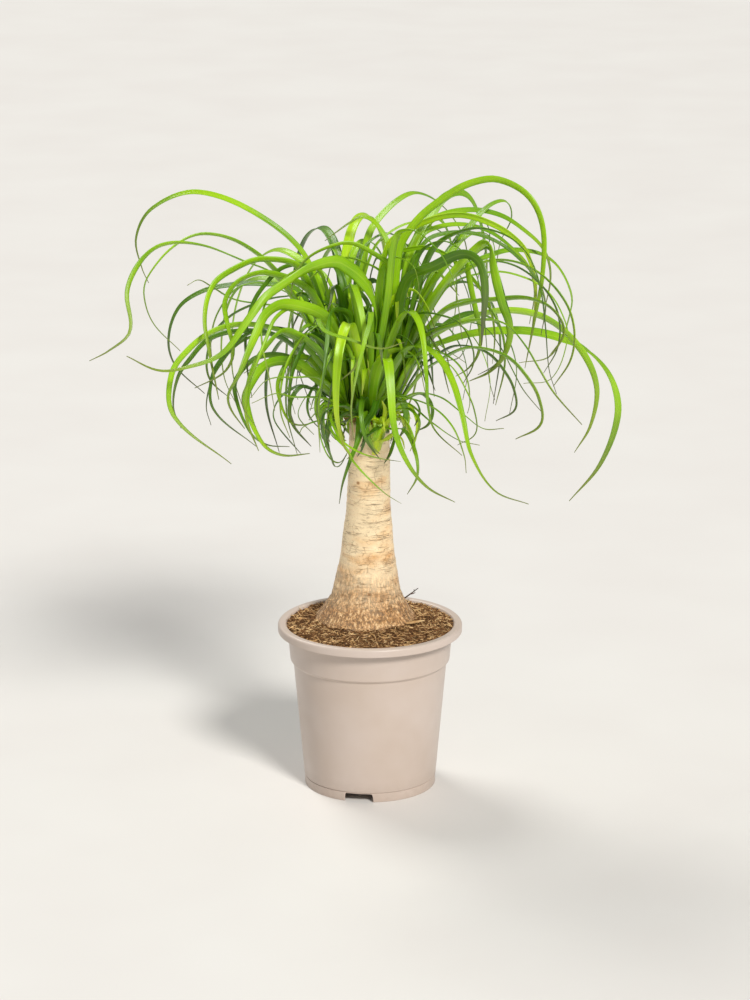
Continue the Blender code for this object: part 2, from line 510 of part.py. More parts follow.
def roll_at(rolls, share):
    """The roll in radians at this share of the length."""
    place = share * (len(rolls) - 1)
    start = min(int(place), len(rolls) - 2)
    return radians(rolls[start] + (rolls[start + 1] - rolls[start]) * (place - start))


def leaf_start(form, bud):
    """Where a leaf leaves its head: on the side that its route goes to."""
    centre = bud.at(form.rise)
    outward = Vector(form.route[0]) * ROUTE_SCALE - centre
    outward.z = 0
    outward.normalize()
    start = centre + outward * (bud.radius(form.rise) + 0.14)
    return start, outward


def leaf(name, form, into, look):
    """A strap that follows its route, bent from a flat grid and thickened."""
    start, outward = leaf_start(form, HEADS[form.head])
    route = [start, *(Vector(place) * ROUTE_SCALE for place in form.route)]
    points = [point * CM for point in even_points(smooth_route(route), LEAF_STEPS)]
    across = Vector((0, 0, 1)).cross(outward)
    rows = []
    for number, point in enumerate(points):
        ahead = points[min(number + 1, LEAF_STEPS)] - points[max(number - 1, 0)]
        ahead.normalize()
        across = (across - ahead * across.dot(ahead)).normalized()
        share = number / LEAF_STEPS
        turn = Matrix.Rotation(roll_at(form.roll, share), 3, ahead)
        rows.append((point, turn @ across * form.width * CM * leaf_width(share)))
    bm = bmesh.new()
    bmesh.ops.create_grid(bm, x_segments=1, y_segments=LEAF_STEPS, size=0.5)
    for vert in bm.verts:
        point, side = rows[round((vert.co.y + 0.5) * LEAF_STEPS)]
        vert.co = point + side * vert.co.x
    made = add(name, mesh_of(name, bm), into, look)
    thicken = made.modifiers.new("Thickness", "SOLIDIFY")
    thicken.thickness = LEAF_THICKNESS
    thicken.offset = 0
    return made


def stick(name, points, thickness, into, look):
    """A thin bit of wood that lies in or on the soil."""
    data = bpy.data.curves.new(name, "CURVE")
    data.dimensions = "3D"
    data.bevel_depth = thickness / 2
    data.bevel_resolution = 1
    data.use_fill_caps = True
    spline = data.splines.new("POLY")
    spline.points.add(len(points) - 1)
    for place, point in zip(spline.points, points):
        place.co = (*(Vector(point) * CM), 1)
    return add(name, data, into, look)


def main():
    for old in list(bpy.data.objects):
        bpy.data.objects.remove(old, do_unlink=True)
    palm = collection("potted_ponytail_palm")
    pot(palm, collection("pot_cutters"))
    soil(palm, collection("soil_cutters"))
    trunk(palm)
    for name, form in HEADS.items():
        head(name, form, palm)
    leaf_green = material("leaf_green", (0.19, 0.45, 0.03), 0.4)
    for name, form in LEAVES.items():
        leaf(name, form, palm, leaf_green)
    stick("soil_twig", TWIG, 0.0018, palm, material("twig_wood", (0.07, 0.04, 0.02), 0.9))
    stick("soil_splinter", SPLINTER, 0.0022, palm, material("splinter_wood", (0.66, 0.52, 0.34), 0.8))


main()
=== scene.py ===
"""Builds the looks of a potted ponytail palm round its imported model.

Metres, +Z up, with the origin on the pot's axis where the pot stands. Leaf courses are written in
centimetres, because they are easier to read so, and are brought to metres where they are used.
"""

from __future__ import annotations

import logging
from collections.abc import Callable, Iterable, Sequence
from dataclasses import dataclass, replace
from enum import Enum
from math import atan2, cos, pi, radians, sin, sqrt
from random import Random

import bmesh
import bpy
from mathutils import Matrix, Vector, noise
from mathutils.geometry import interpolate_bezier


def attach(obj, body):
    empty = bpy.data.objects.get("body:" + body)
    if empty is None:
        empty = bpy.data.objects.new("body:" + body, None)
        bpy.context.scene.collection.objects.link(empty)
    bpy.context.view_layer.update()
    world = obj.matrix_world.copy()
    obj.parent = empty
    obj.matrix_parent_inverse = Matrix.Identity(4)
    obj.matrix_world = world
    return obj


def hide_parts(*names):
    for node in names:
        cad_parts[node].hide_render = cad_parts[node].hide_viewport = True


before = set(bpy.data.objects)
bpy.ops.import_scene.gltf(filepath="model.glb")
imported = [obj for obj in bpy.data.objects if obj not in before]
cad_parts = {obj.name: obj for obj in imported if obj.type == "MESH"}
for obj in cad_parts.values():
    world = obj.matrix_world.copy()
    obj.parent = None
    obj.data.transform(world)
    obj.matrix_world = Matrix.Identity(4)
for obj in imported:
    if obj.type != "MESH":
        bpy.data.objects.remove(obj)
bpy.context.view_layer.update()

LOG = logging.getLogger("ponytail_palm")
CM = 0.01
ALL_SMOOTH = 180.0  # no edge is sharper than this, in degrees
GOLDEN_TURN = 2.39996  # radians between one leaf and the next on a growing tip

Colour = tuple[float, float, float]
Pair = tuple[float, float]
Triple = tuple[float, float, float]
Outline = list[Pair]
Socket = bpy.types.NodeSocket
Material = bpy.types.Material
Object = bpy.types.Object
Mesh = bpy.types.Mesh
Shape = bmesh.types.BMesh


def shade(red: int, green: int, blue: int) -> Colour:
    """Turns a colour as it is seen on a screen, 0 to 255, into a linear one."""
    return tuple(
        level / 12.92 if level <= 0.04045 else ((level + 0.055) / 1.055) ** 2.4
        for level in (red / 255, green / 255, blue / 255)
    )


def blend(low: float, high: float, share: float) -> float:
    """Goes from low to high in a straight line as share goes from 0 to 1."""
    return low + (high - low) * share


def step_between(low: float, high: float, value: float) -> float:
    """Rises smoothly from 0 at low to 1 at high. High may be the smaller one."""
    share = min(1.0, max(0.0, (value - low) / (high - low)))
    return share * share * (3 - 2 * share)


# --------------------------------------------------------------------------- finishes


class Graph:
    """Adds nodes to the tree of one new material and links them."""

    def __init__(self, name: str) -> None:
        """Starts a material with its Principled shader.

        Args:
            name: the material's name.
        """
        self.material = bpy.data.materials.new(name)
        self.material.use_nodes = True
        self.tree = self.material.node_tree
        self.shader = self.tree.nodes["Principled BSDF"]

    def node(self, kind: str, **settings: object) -> bpy.types.Node:
        """Adds a node.

        Args:
            kind: the node's type without its ShaderNode prefix.
            settings: properties to set on it.

        Returns:
            The new node.
        """
        made = self.tree.nodes.new(f"ShaderNode{kind}")
        for key, value in settings.items():
            setattr(made, key, value)
        return made

    def feed(self, source: object, target: Socket) -> None:
        """Links a socket to an input, or sets the input to a plain value.

        Args:
            source: an output socket, a number or a colour.
            target: the input socket.
        """
        if isinstance(source, Socket):
            self.tree.links.new(source, target)
        elif isinstance(source, tuple) and len(source) == 3 and target.type == "RGBA":
            target.default_value = (*source, 1.0)
        else:
            target.default_value = source

    def place(self, stretch: Sequence[float] = (1, 1, 1)) -> Socket:
        """Gives Object coordinates, stretched along each axis.

        Args:
            stretch: the factor along X, Y and Z.

        Returns:
            The vector socket.
        """
        where = self.node("TexCoord").outputs["Object"]
        mapping = self.node("Mapping")
        self.feed(where, mapping.inputs["Vector"])
        mapping.inputs["Scale"].default_value = stretch
        return mapping.outputs["Vector"]

    def along_strap(self) -> tuple[Socket, Socket]:
        """Gives the shares across and along a strap, from its own UV map."""
        flat = self.node("TexCoord").outputs["UV"]
        return self.axis(flat, "X"), self.axis(flat, "Y")

    def axis(self, vector: Socket, name: str) -> Socket:
        """Gives one axis of a vector, or one channel of a colour.

        Args:
            vector: the socket of the vector or colour.
            name: the axis: X, Y or Z.

        Returns:
            The axis's socket.
        """
        parts = self.node("SeparateXYZ")
        self.feed(vector, parts.inputs[0])
        return parts.outputs[name]

    def clouds(self, place: Socket, scale: float, detail: float = 4.0, rough: float = 0.55) -> Socket:
        """Gives soft noise from 0 to 1.

        Args:
            place: where to read it.
            scale: how many features to a metre.
            detail: how many finer layers it has.
            rough: how strong the finer layers are.

        Returns:
            The noise's factor socket.
        """
        made = self.node("TexNoise")
        self.feed(place, made.inputs["Vector"])
        for key, number in (("Scale", scale), ("Detail", detail), ("Roughness", rough)):
            made.inputs[key].default_value = number
        return made.outputs["Fac"]

    def cracks(self, place: Socket, width: float) -> Socket:
        """Gives 1 along the borders of irregular cells and 0 inside them.

        Args:
            place: where to read the cells.
            width: the border's width as a share of a cell.

        Returns:
            The mask's socket.
        """
        cells = self.node("TexVoronoi", feature="DISTANCE_TO_EDGE")
        self.feed(place, cells.inputs["Vector"])
        cells.inputs["Scale"].default_value = 1.0
        return self.span(cells.outputs["Distance"], width, 0.0)

    def ramp(self, factor: Socket, stops: Sequence[tuple[float, Colour]]) -> Socket:
        """Turns a factor into colours.

        Args:
            factor: the factor's socket.
            stops: places from 0 to 1 with their colours.

        Returns:
            The colour socket.
        """
        made = self.node("ValToRGB")
        self.feed(factor, made.inputs["Fac"])
        elements = made.color_ramp.elements
        while len(elements) < len(stops):
            elements.new(0.5)
        for element, (place, colour) in zip(elements, stops):
            element.position = place
            element.color = (*colour, 1.0)
        return made.outputs["Color"]

    def span(self, value: Socket, low: float, high: float, top: float = 1.0) -> Socket:
        """Maps low to 0 and high to top, and holds what is outside.

        Args:
            value: the value's socket.
            low: the value that gives 0.
            high: the value that gives top.
            top: the highest result.

        Returns:
            The result's socket.
        """
        made = self.node("MapRange")
        self.feed(value, made.inputs["Value"])
        for key, number in (("From Min", low), ("From Max", high), ("To Max", top)):
            made.inputs[key].default_value = number
        return made.outputs["Result"]

    def calc(self, kind: str, first: object, second: object = 0.0) -> Socket:
        """Does one step of arithmetic.

        Args:
            kind: the operation, as Blender names it.
            first: the first socket or number.
            second: the second socket or number.

        Returns:
            The result's socket.
        """
        made = self.node("Math", operation=kind)
        self.feed(first, made.inputs[0])
        self.feed(second, made.inputs[1])
        return made.outputs[0]

    def times(self, first: object, second: object) -> Socket:
        """Multiplies two sockets or numbers."""
        return self.calc("MULTIPLY", first, second)

    def plus(self, first: object, second: object) -> Socket:
        """Adds two sockets or numbers."""
        return self.calc("ADD", first, second)

    def mix(self, share: object, first: object, second: object) -> Socket:
        """Mixes two colours.

        Args:
            share: how much of the second, as a socket or a number.
            first: the first colour or socket.
            second: the second colour or socket.

        Returns:
            The colour socket.
        """
        made = self.node("Mix", data_type="RGBA")
        for place, source in ((0, share), (6, first), (7, second)):
            self.feed(source, made.inputs[place])
        return made.outputs[2]

    def relief(
        self, height: Socket, distance: float, strength: float = 1.0, under: Socket | None = None
    ) -> Socket:
        """Makes bumps.

        Args:
            height: the height's socket.
            distance: the height of a full bump in metres.
            strength: how strong the effect is.
            under: the normal of a coarser relief below this one.

        Returns:
            The normal's socket.
        """
        made = self.node("Bump")
        made.inputs["Strength"].default_value = strength
        made.inputs["Distance"].default_value = distance
        self.feed(height, made.inputs["Height"])
        if under is not None:
            self.feed(under, made.inputs["Normal"])
        return made.outputs["Normal"]

    def dress(
        self, colour: object, roughness: object, normal: Socket | None = None, **plain: object
    ) -> Material:
        """Fills in the shader.

        Args:
            colour: the base colour or its socket.
            roughness: the roughness or its socket.
            normal: the normal's socket, if the surface has relief.
            plain: other shader inputs by name, with underscores for spaces.

        Returns:
            The finished material.
        """
        self.feed(colour, self.shader.inputs["Base Color"])
        self.feed(roughness, self.shader.inputs["Roughness"])
        if normal is not None:
            self.feed(normal, self.shader.inputs["Normal"])
        for key, value in plain.items():
            self.shader.inputs[key.replace("_", " ")].default_value = value
        return self.material


class Tone(Enum):
    """How bright a leaf is: partly its own green, and partly painted light and shade, the fresh tone standing
    for a lit, glowing leaf and the deep tone for a leaf in shade.
    """

    FRESH_AND_LIT = "fresh"
    MIDDLE = "middle"
    DEEP = "deep"
    YOUNG = "young"


@dataclass(frozen=True)
class LeafGreen:
    """A glossy strap leaf with fine parallel veins.

    Attributes:
        name: the material's name.
        blade: the blade's main green.
        deeper: the green of its darker streaks and patches, and of the painted shade towards its base.
        base: the paler colour where it leaves the bud.
        tip: the colour at its very end.
        vein_count: how many veins lie across it.
        streak_count: how many soft streaks lie across it.
        streak_breaks: how often a streak changes along it.
        gloss: the roughness of its smoothest places.
        light_reach: how far light spreads inside it, in metres.
    """

    name: str
    blade: Colour
    deeper: Colour
    base: Colour
    tip: Colour
    vein_count: float = 11.0
    streak_count: float = 26.0
    streak_breaks: float = 5.0
    gloss: float = 0.25
    light_reach: float = 0.0018

    def build(self) -> Material:
        """Makes the material."""
        graph = Graph(self.name)
        across, along = graph.along_strap()
        streaks = graph.node("CombineXYZ")
        graph.feed(graph.times(across, self.streak_count), streaks.inputs[0])
        graph.feed(graph.times(along, self.streak_breaks), streaks.inputs[1])
        graph.feed(graph.clouds(graph.place(), 3.0, 1.0), streaks.inputs[2])
        streak = graph.clouds(streaks.outputs[0], 1.0, 3.0)
        patches = graph.clouds(graph.place(), 14.0, 2.0)
        colour = graph.mix(graph.span(patches, 0.35, 0.68), self.blade, self.deeper)
        colour = graph.mix(graph.span(streak, 0.42, 0.70, 0.40), colour, self.deeper)
        veins = graph.calc("SINE", graph.times(across, self.vein_count * 2 * pi))
        colour = graph.mix(graph.span(veins, 0.1, 1.0, 0.16), colour, self.base)
        from_middle = graph.calc("ABSOLUTE", graph.calc("SUBTRACT", across, 0.5))
        colour = graph.mix(graph.span(from_middle, 0.06, 0.0, 0.30), colour, self.base)
        # Painted shade: the strap darkens towards its base, from 0.30 of its length down to 0.06.
        colour = graph.mix(graph.span(along, 0.30, 0.06, 0.50), colour, self.deeper)
        colour = graph.mix(graph.span(along, 0.09, 0.01, 0.70), colour, self.base)
        ragged = graph.plus(along, graph.span(streak, 0.3, 0.7, 0.06))
        colour = graph.mix(graph.span(ragged, 0.76, 1.02, 0.85), colour, self.tip)
        roughness = graph.plus(graph.span(streak, 0.2, 0.9, 0.16), self.gloss)
        height = graph.plus(graph.times(veins, 0.5), streak)
        normal = graph.relief(height, 0.00012, 0.55)
        return graph.dress(
            colour, roughness, normal, Subsurface_Weight=0.20, Subsurface_Radius=(0.7, 1.0, 0.10),
            Subsurface_Scale=self.light_reach, Specular_IOR_Level=0.50,
        )


# Lit and shaded copies of one leaf: the fresh greens are partly painted light, for lit and glowing leaves,
# and the deep greens partly painted shade; the middle greens lie between, and the young greens are the
# shoots' own.
LEAF_FINISHES = {
    Tone.FRESH_AND_LIT: LeafGreen(
        "leaf_green_fresh_and_lit", shade(194, 230, 0), shade(146, 194, 0), shade(214, 230, 100), shade(136, 136, 58)
    ),
    Tone.MIDDLE: LeafGreen(
        "leaf_green_middle", shade(162, 208, 0), shade(104, 156, 0), shade(196, 218, 84), shade(118, 116, 66)
    ),
    Tone.DEEP: LeafGreen(
        "leaf_green_deep_and_shaded", shade(106, 154, 0), shade(54, 104, 0), shade(158, 190, 62), shade(98, 92, 72)
    ),
    Tone.YOUNG: LeafGreen(
        "leaf_green_young", shade(212, 226, 10), shade(172, 206, 8), shade(238, 236, 96), shade(186, 200, 62)
    ),
}


@dataclass(frozen=True)
class PotPlastic:
    """Matt moulded plastic in a warm greige, faintly cloudy."""

    body: Colour = shade(204, 189, 179)
    cloud: Colour = shade(197, 180, 167)
    bottom_tint: Colour = shade(150, 128, 108)
    bottom_tint_height: float = 0.02

    def build(self) -> Material:
        """Makes the material."""
        graph = Graph("pot_plastic_moulded")
        place = graph.place()
        cloud = graph.clouds(place, 18.0, 3.0)
        flow = graph.clouds(graph.place((1, 1, 0.12)), 160.0, 2.0)
        fine = graph.clouds(place, 2600.0, 2.0)
        colour = graph.mix(graph.span(cloud, 0.3, 0.7), self.body, self.cloud)
        height = graph.plus(graph.times(flow, 0.25), graph.times(fine, 0.5))
        # Darker, blotchy colour towards the pot's bottom, over its lowest 2 cm.
        low = graph.span(graph.axis(place, "Z"), self.bottom_tint_height, 0.0, 0.5)
        colour = graph.mix(graph.times(low, graph.clouds(place, 220.0)), colour, self.bottom_tint)
        roughness = graph.plus(graph.span(cloud, 0.2, 0.8, 0.08), 0.34)
        return graph.dress(colour, roughness, graph.relief(height, 0.00006, 0.5), Specular_IOR_Level=0.45)


@dataclass(frozen=True)
class TrunkBark:
    """Cream corky bark ringed with fine cracks, rougher and browner where it flares."""

    cream: Colour = shade(255, 232, 192)
    sand: Colour = shade(250, 214, 166)
    amber: Colour = shade(234, 182, 124)
    crack: Colour = shade(138, 94, 56)
    knot: Colour = shade(150, 96, 50)
    fleck: Colour = shade(104, 68, 36)
    rust: Colour = shade(204, 144, 84)
    brown: Colour = shade(150, 98, 50)
    husk: Colour = shade(248, 214, 164)
    flare_top: float = 0.224
    flare_full: float = 0.168

    def rings(self, graph: Graph, place: Socket) -> Socket:
        """Gives the mask of the fine cracks that run round the trunk.

        Args:
            graph: the material's nodes.
            place: the Object coordinates.

        Returns:
            The mask's socket.
        """
        masks = []
        for stretch, width, patch in (((13, 13, 190), 0.012, 0.49), ((26, 26, 400), 0.014, 0.53)):
            waves = graph.clouds(graph.place(stretch), 1.0, 3.0, 0.6)
            from_middle = graph.calc("ABSOLUTE", graph.calc("SUBTRACT", waves, 0.5))
            lines = graph.span(from_middle, width, width * 0.2)
            wider = (stretch[0] * 2.6, stretch[1] * 2.6, stretch[2] * 0.5)
            patches = graph.clouds(graph.place(wider), 1.0, 3.0)
            masks.append(graph.times(lines, graph.span(patches, patch, patch + 0.10)))
        checks = graph.cracks(graph.place((150, 150, 190)), 0.05)
        checks = graph.times(checks, graph.span(graph.clouds(place, 85.0, 3.0), 0.48, 0.60, 0.80))
        return graph.calc("MAXIMUM", graph.calc("MAXIMUM", *masks), checks)

    def knots(self, graph: Graph) -> Socket:
        """Gives the mask of the few small brown knots.

        Args:
            graph: the material's nodes.

        Returns:
            The mask's socket.
        """
        cells = graph.node("TexVoronoi")
        graph.feed(graph.place((95, 95, 95)), cells.inputs["Vector"])
        cells.inputs["Scale"].default_value = 1.0
        dots = graph.span(cells.outputs["Distance"], 0.20, 0.08)
        return graph.times(dots, graph.span(graph.axis(cells.outputs["Color"], "X"), 0.86, 0.90))

    def build(self) -> Material:
        """Makes the material."""
        graph = Graph("trunk_bark_corky")
        place = graph.place()
        soft = graph.clouds(graph.place((26, 26, 60)), 1.0, 5.0)
        colour = graph.ramp(soft, ((0.26, self.amber), (0.38, self.sand), (0.50, self.cream)))
        bands = graph.clouds(graph.place((10, 10, 240)), 1.0, 3.0)
        colour = graph.mix(graph.span(bands, 0.50, 0.70, 0.25), colour, self.sand)
        grain = graph.clouds(graph.place((420, 420, 900)), 1.0, 4.0, 0.7)
        colour = graph.mix(graph.span(grain, 0.54, 0.72, 0.32), colour, self.amber)
        specks = graph.clouds(graph.place((480, 480, 1100)), 1.0, 3.0, 0.6)
        colour = graph.mix(graph.span(specks, 0.59, 0.68, 0.36), colour, self.crack)
        rings = self.rings(graph, place)
        colour = graph.mix(graph.times(rings, 0.55), colour, self.crack)
        colour = graph.mix(graph.times(self.knots(graph), 0.8), colour, self.knot)
        ragged = graph.plus(graph.axis(place, "Z"), graph.span(soft, 0.2, 0.8, 0.024))
        flare = graph.span(ragged, self.flare_top + 0.012, self.flare_full + 0.012)
        fibres = graph.clouds(graph.place((430, 430, 170)), 1.0, 5.0, 0.75)
        browns = ((0.42, self.fleck), (0.48, self.brown), (0.54, self.rust), (0.62, self.husk))
        rough_bark = graph.ramp(fibres, browns)
        colour = graph.mix(graph.times(flare, 0.80), colour, rough_bark)
        height = graph.plus(graph.times(bands, 0.5), graph.times(rings, -0.8))
        height = graph.calc("SUBTRACT", height, graph.times(grain, 0.25))
        normal = graph.relief(height, 0.0008, 0.8)
        coarse = graph.times(flare, fibres)
        normal = graph.relief(coarse, 0.0018, 0.9, normal)
        return graph.dress(colour, graph.span(soft, 0.1, 0.9, 0.95), normal, Specular_IOR_Level=0.2)


@dataclass(frozen=True)
class SoilCrust:
    """Brown coir and peat, mottled at every size."""

    peat: Colour = shade(44, 28, 16)
    earth: Colour = shade(96, 66, 38)
    coir: Colour = shade(152, 112, 70)
    chaff: Colour = shade(212, 172, 116)
    damp: Colour = shade(66, 46, 26)

    def build(self) -> Material:
        """Makes the material."""
        graph = Graph("soil_crust")
        place = graph.place()
        grain = graph.clouds(place, 420.0, 8.0, 0.7)
        browns = ((0.38, self.peat), (0.48, self.earth), (0.57, self.coir), (0.67, self.chaff))
        colour = graph.ramp(grain, browns)
        patches = graph.clouds(place, 45.0, 3.0)
        colour = graph.mix(graph.span(patches, 0.44, 0.62, 0.55), colour, self.damp)
        normal = graph.relief(grain, 0.0022, 0.9)
        return graph.dress(colour, 0.93, normal, Specular_IOR_Level=0.15)


@dataclass(frozen=True)
class DryFibre:
    """A plain bit of plant: coir, straw, twig, scale or the core of a bud, in two mottled colours.

    Attributes:
        name: the material's name.
        pale: the lighter colour.
        dark: the darker colour.
    """

    name: str
    pale: Colour
    dark: Colour

    def build(self) -> Material:
        """Makes the material."""
        graph = Graph(self.name)
        place = graph.place()
        patch = graph.clouds(place, 130.0, 2.0)
        fine = graph.clouds(place, 1500.0, 3.0)
        colour = graph.mix(graph.span(patch, 0.38, 0.62), self.pale, self.dark)
        colour = graph.mix(graph.span(fine, 0.4, 0.7, 0.5), colour, self.dark)
        return graph.dress(colour, 0.85, graph.relief(fine, 0.0003, 0.6), Specular_IOR_Level=0.2)


class Stuff(Enum):
    """The finishes that more than one piece may take."""

    POT = "pot"
    BARK = "bark"
    SOIL = "soil"
    CORE = "core"
    COIR = "coir"
    STRAW = "straw"
    TWIG = "twig"
    SCALE = "scale"


FINISHES = {
    Stuff.POT: PotPlastic(),
    Stuff.BARK: TrunkBark(),
    Stuff.SOIL: SoilCrust(),
    # The bud cores' dark greens are painted shade: they make the cores read as the dark hollow between the
    # leaves.
    Stuff.CORE: DryFibre("bud_core_painted_shade", shade(66, 100, 16), shade(36, 62, 8)),
    Stuff.COIR: DryFibre("soil_coir", shade(160, 116, 74), shade(94, 64, 40)),
    Stuff.STRAW: DryFibre("soil_straw", shade(240, 208, 156), shade(196, 152, 100)),
    Stuff.TWIG: DryFibre("twig_bark", shade(92, 66, 48), shade(44, 30, 22)),
    Stuff.SCALE: DryFibre("bud_scale_dry", shade(206, 164, 108), shade(128, 88, 50)),
}
_made: dict[Tone | Stuff, Material] = {}


def dressed(choice: Tone | Stuff) -> Material:
    """Gives the material of a finish, made the first time that it is asked for."""
    if choice not in _made:
        recipe = LEAF_FINISHES[choice] if isinstance(choice, Tone) else FINISHES[choice]
        _made[choice] = recipe.build()
    return _made[choice]


# --------------------------------------------------------------------------- mesh helpers


def add_piece(
    name: str, mesh: Mesh, finish: Tone | Stuff, stands_for: Iterable[str] = ()
) -> Object:
    """Puts a finished mesh in the scene as a piece of the object.

    Args:
        name: the piece's name.
        mesh: its mesh, already in place.
        finish: what it is made of.
        stands_for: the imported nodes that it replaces.

    Returns:
        The new object.
    """
    piece = bpy.data.objects.new(name, mesh)
    bpy.context.scene.collection.objects.link(piece)
    mesh.materials.append(dressed(finish))
    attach(piece, "root")
    if nodes := list(stands_for):
        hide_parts(*nodes)
    return piece


def mesh_from(name: str, bm: Shape, sharp: float = 50.0) -> Mesh:
    """Turns a bmesh into a smooth-shaded mesh with its faces outwards, and frees it.

    Args:
        name: the mesh's name.
        bm: the bmesh.
        sharp: the angle in degrees past which an edge stays sharp.

    Returns:
        The mesh.
    """
    bmesh.ops.recalc_face_normals(bm, faces=bm.faces)
    mesh = bpy.data.meshes.new(name)
    bm.to_mesh(mesh)
    bm.free()
    mesh.shade_smooth()
    mesh.set_sharp_from_angle(angle=radians(sharp))
    return mesh


def thicken(piece: Object, thickness: float) -> Object:
    """Gives a thin piece its thickness, half to each side.

    Args:
        piece: the piece.
        thickness: its thickness in metres.

    Returns:
        The same piece.
    """
    wall = piece.modifiers.new("Thickness", "SOLIDIFY")
    wall.thickness, wall.offset = thickness, 0
    return piece


def lathe(outline: Outline, steps: int) -> Shape:
    """Turns an outline of radii and heights once round the Z axis.

    Args:
        outline: points from the axis out, round and back to the axis.
        steps: the number of steps round.

    Returns:
        The closed shape.
    """
    bm = bmesh.new()
    line = [bm.verts.new((radius, 0.0, height)) for radius, height in outline]
    edges = [bm.edges.new(pair) for pair in zip(line, line[1:])]
    bmesh.ops.spin(
        bm, geom=[*line, *edges], cent=(0, 0, 0), axis=(0, 0, 1), angle=2 * pi, steps=steps, use_merge=True
    )
    bmesh.ops.remove_doubles(bm, verts=bm.verts, dist=1e-6)
    return bm


def applied(name: str, source: Object) -> Mesh:
    """Applies an object's modifiers or bevel, and removes the object.

    Args:
        name: the new mesh's name.
        source: the object.

    Returns:
        The finished mesh.
    """
    bpy.context.view_layer.update()
    graph = bpy.context.evaluated_depsgraph_get()
    mesh = bpy.data.meshes.new_from_object(source.evaluated_get(graph))
    mesh.name = name
    bpy.data.objects.remove(source, do_unlink=True)
    mesh.materials.clear()
    return mesh


def loose_object(name: str, data: bpy.types.ID) -> Object:
    """Links a new object to the scene; the helpers among them are removed again once they have been used."""
    made = bpy.data.objects.new(name, data)
    bpy.context.scene.collection.objects.link(made)
    return made


def smooth_route(points: Sequence[Vector], pieces: int = 10) -> list[Vector]:
    """Finds points on a smooth curve through the given ones.

    Args:
        points: the points that the curve passes.
        pieces: how many steps it takes between two of them.

    Returns:
        The curve's points.
    """
    first, last = points[0] * 2 - points[1], points[-1] * 2 - points[-2]
    line = [first, *points, last]
    curve: list[Vector] = []
    for before, start, end, after in zip(line, line[1:], line[2:], line[3:]):
        reach = (end - start).length / 3
        leave = start + (end - before).normalized() * reach
        arrive = end - (after - start).normalized() * reach
        curve += interpolate_bezier(start, leave, arrive, end, pieces + 1)[:-1]
    return [*curve, points[-1]]


def even_points(curve: Sequence[Vector], count: int) -> list[Vector]:
    """Spaces points evenly along a curve.

    Args:
        curve: the curve's points.
        count: the number of steps.

    Returns:
        One point more than there are steps, the ends included.
    """
    lengths = [0.0]
    for start, end in zip(curve, curve[1:]):
        lengths.append(lengths[-1] + (end - start).length)
    spaced, at = [], 0
    for number in range(count + 1):
        wanted = lengths[-1] * number / count
        while at < len(curve) - 2 and lengths[at + 1] < wanted:
            at += 1
        share = (wanted - lengths[at]) / max(lengths[at + 1] - lengths[at], 1e-12)
        spaced.append(curve[at].lerp(curve[at + 1], share))
    return spaced


def strands(name: str, paths: Sequence[Sequence[tuple[Vector, float]]], sides: int = 0) -> Mesh:
    """Makes one mesh of many thin round strands.

    Args:
        name: the mesh's name.
        paths: for each strand, its points with the radius at each.
        sides: the bevel resolution, 0 for four sides.

    Returns:
        The mesh.
    """
    data = bpy.data.curves.new(name, "CURVE")
    data.dimensions = "3D"
    data.bevel_depth = 1.0
    data.bevel_resolution = sides
    data.use_fill_caps = True
    for path in paths:
        spline = data.splines.new("POLY")
        spline.points.add(len(path) - 1)
        for place, (point, radius) in zip(spline.points, path):
            place.co = (*point, 1)
            place.radius = radius
    return applied(name, loose_object(name, data))


# --------------------------------------------------------------------------- pot


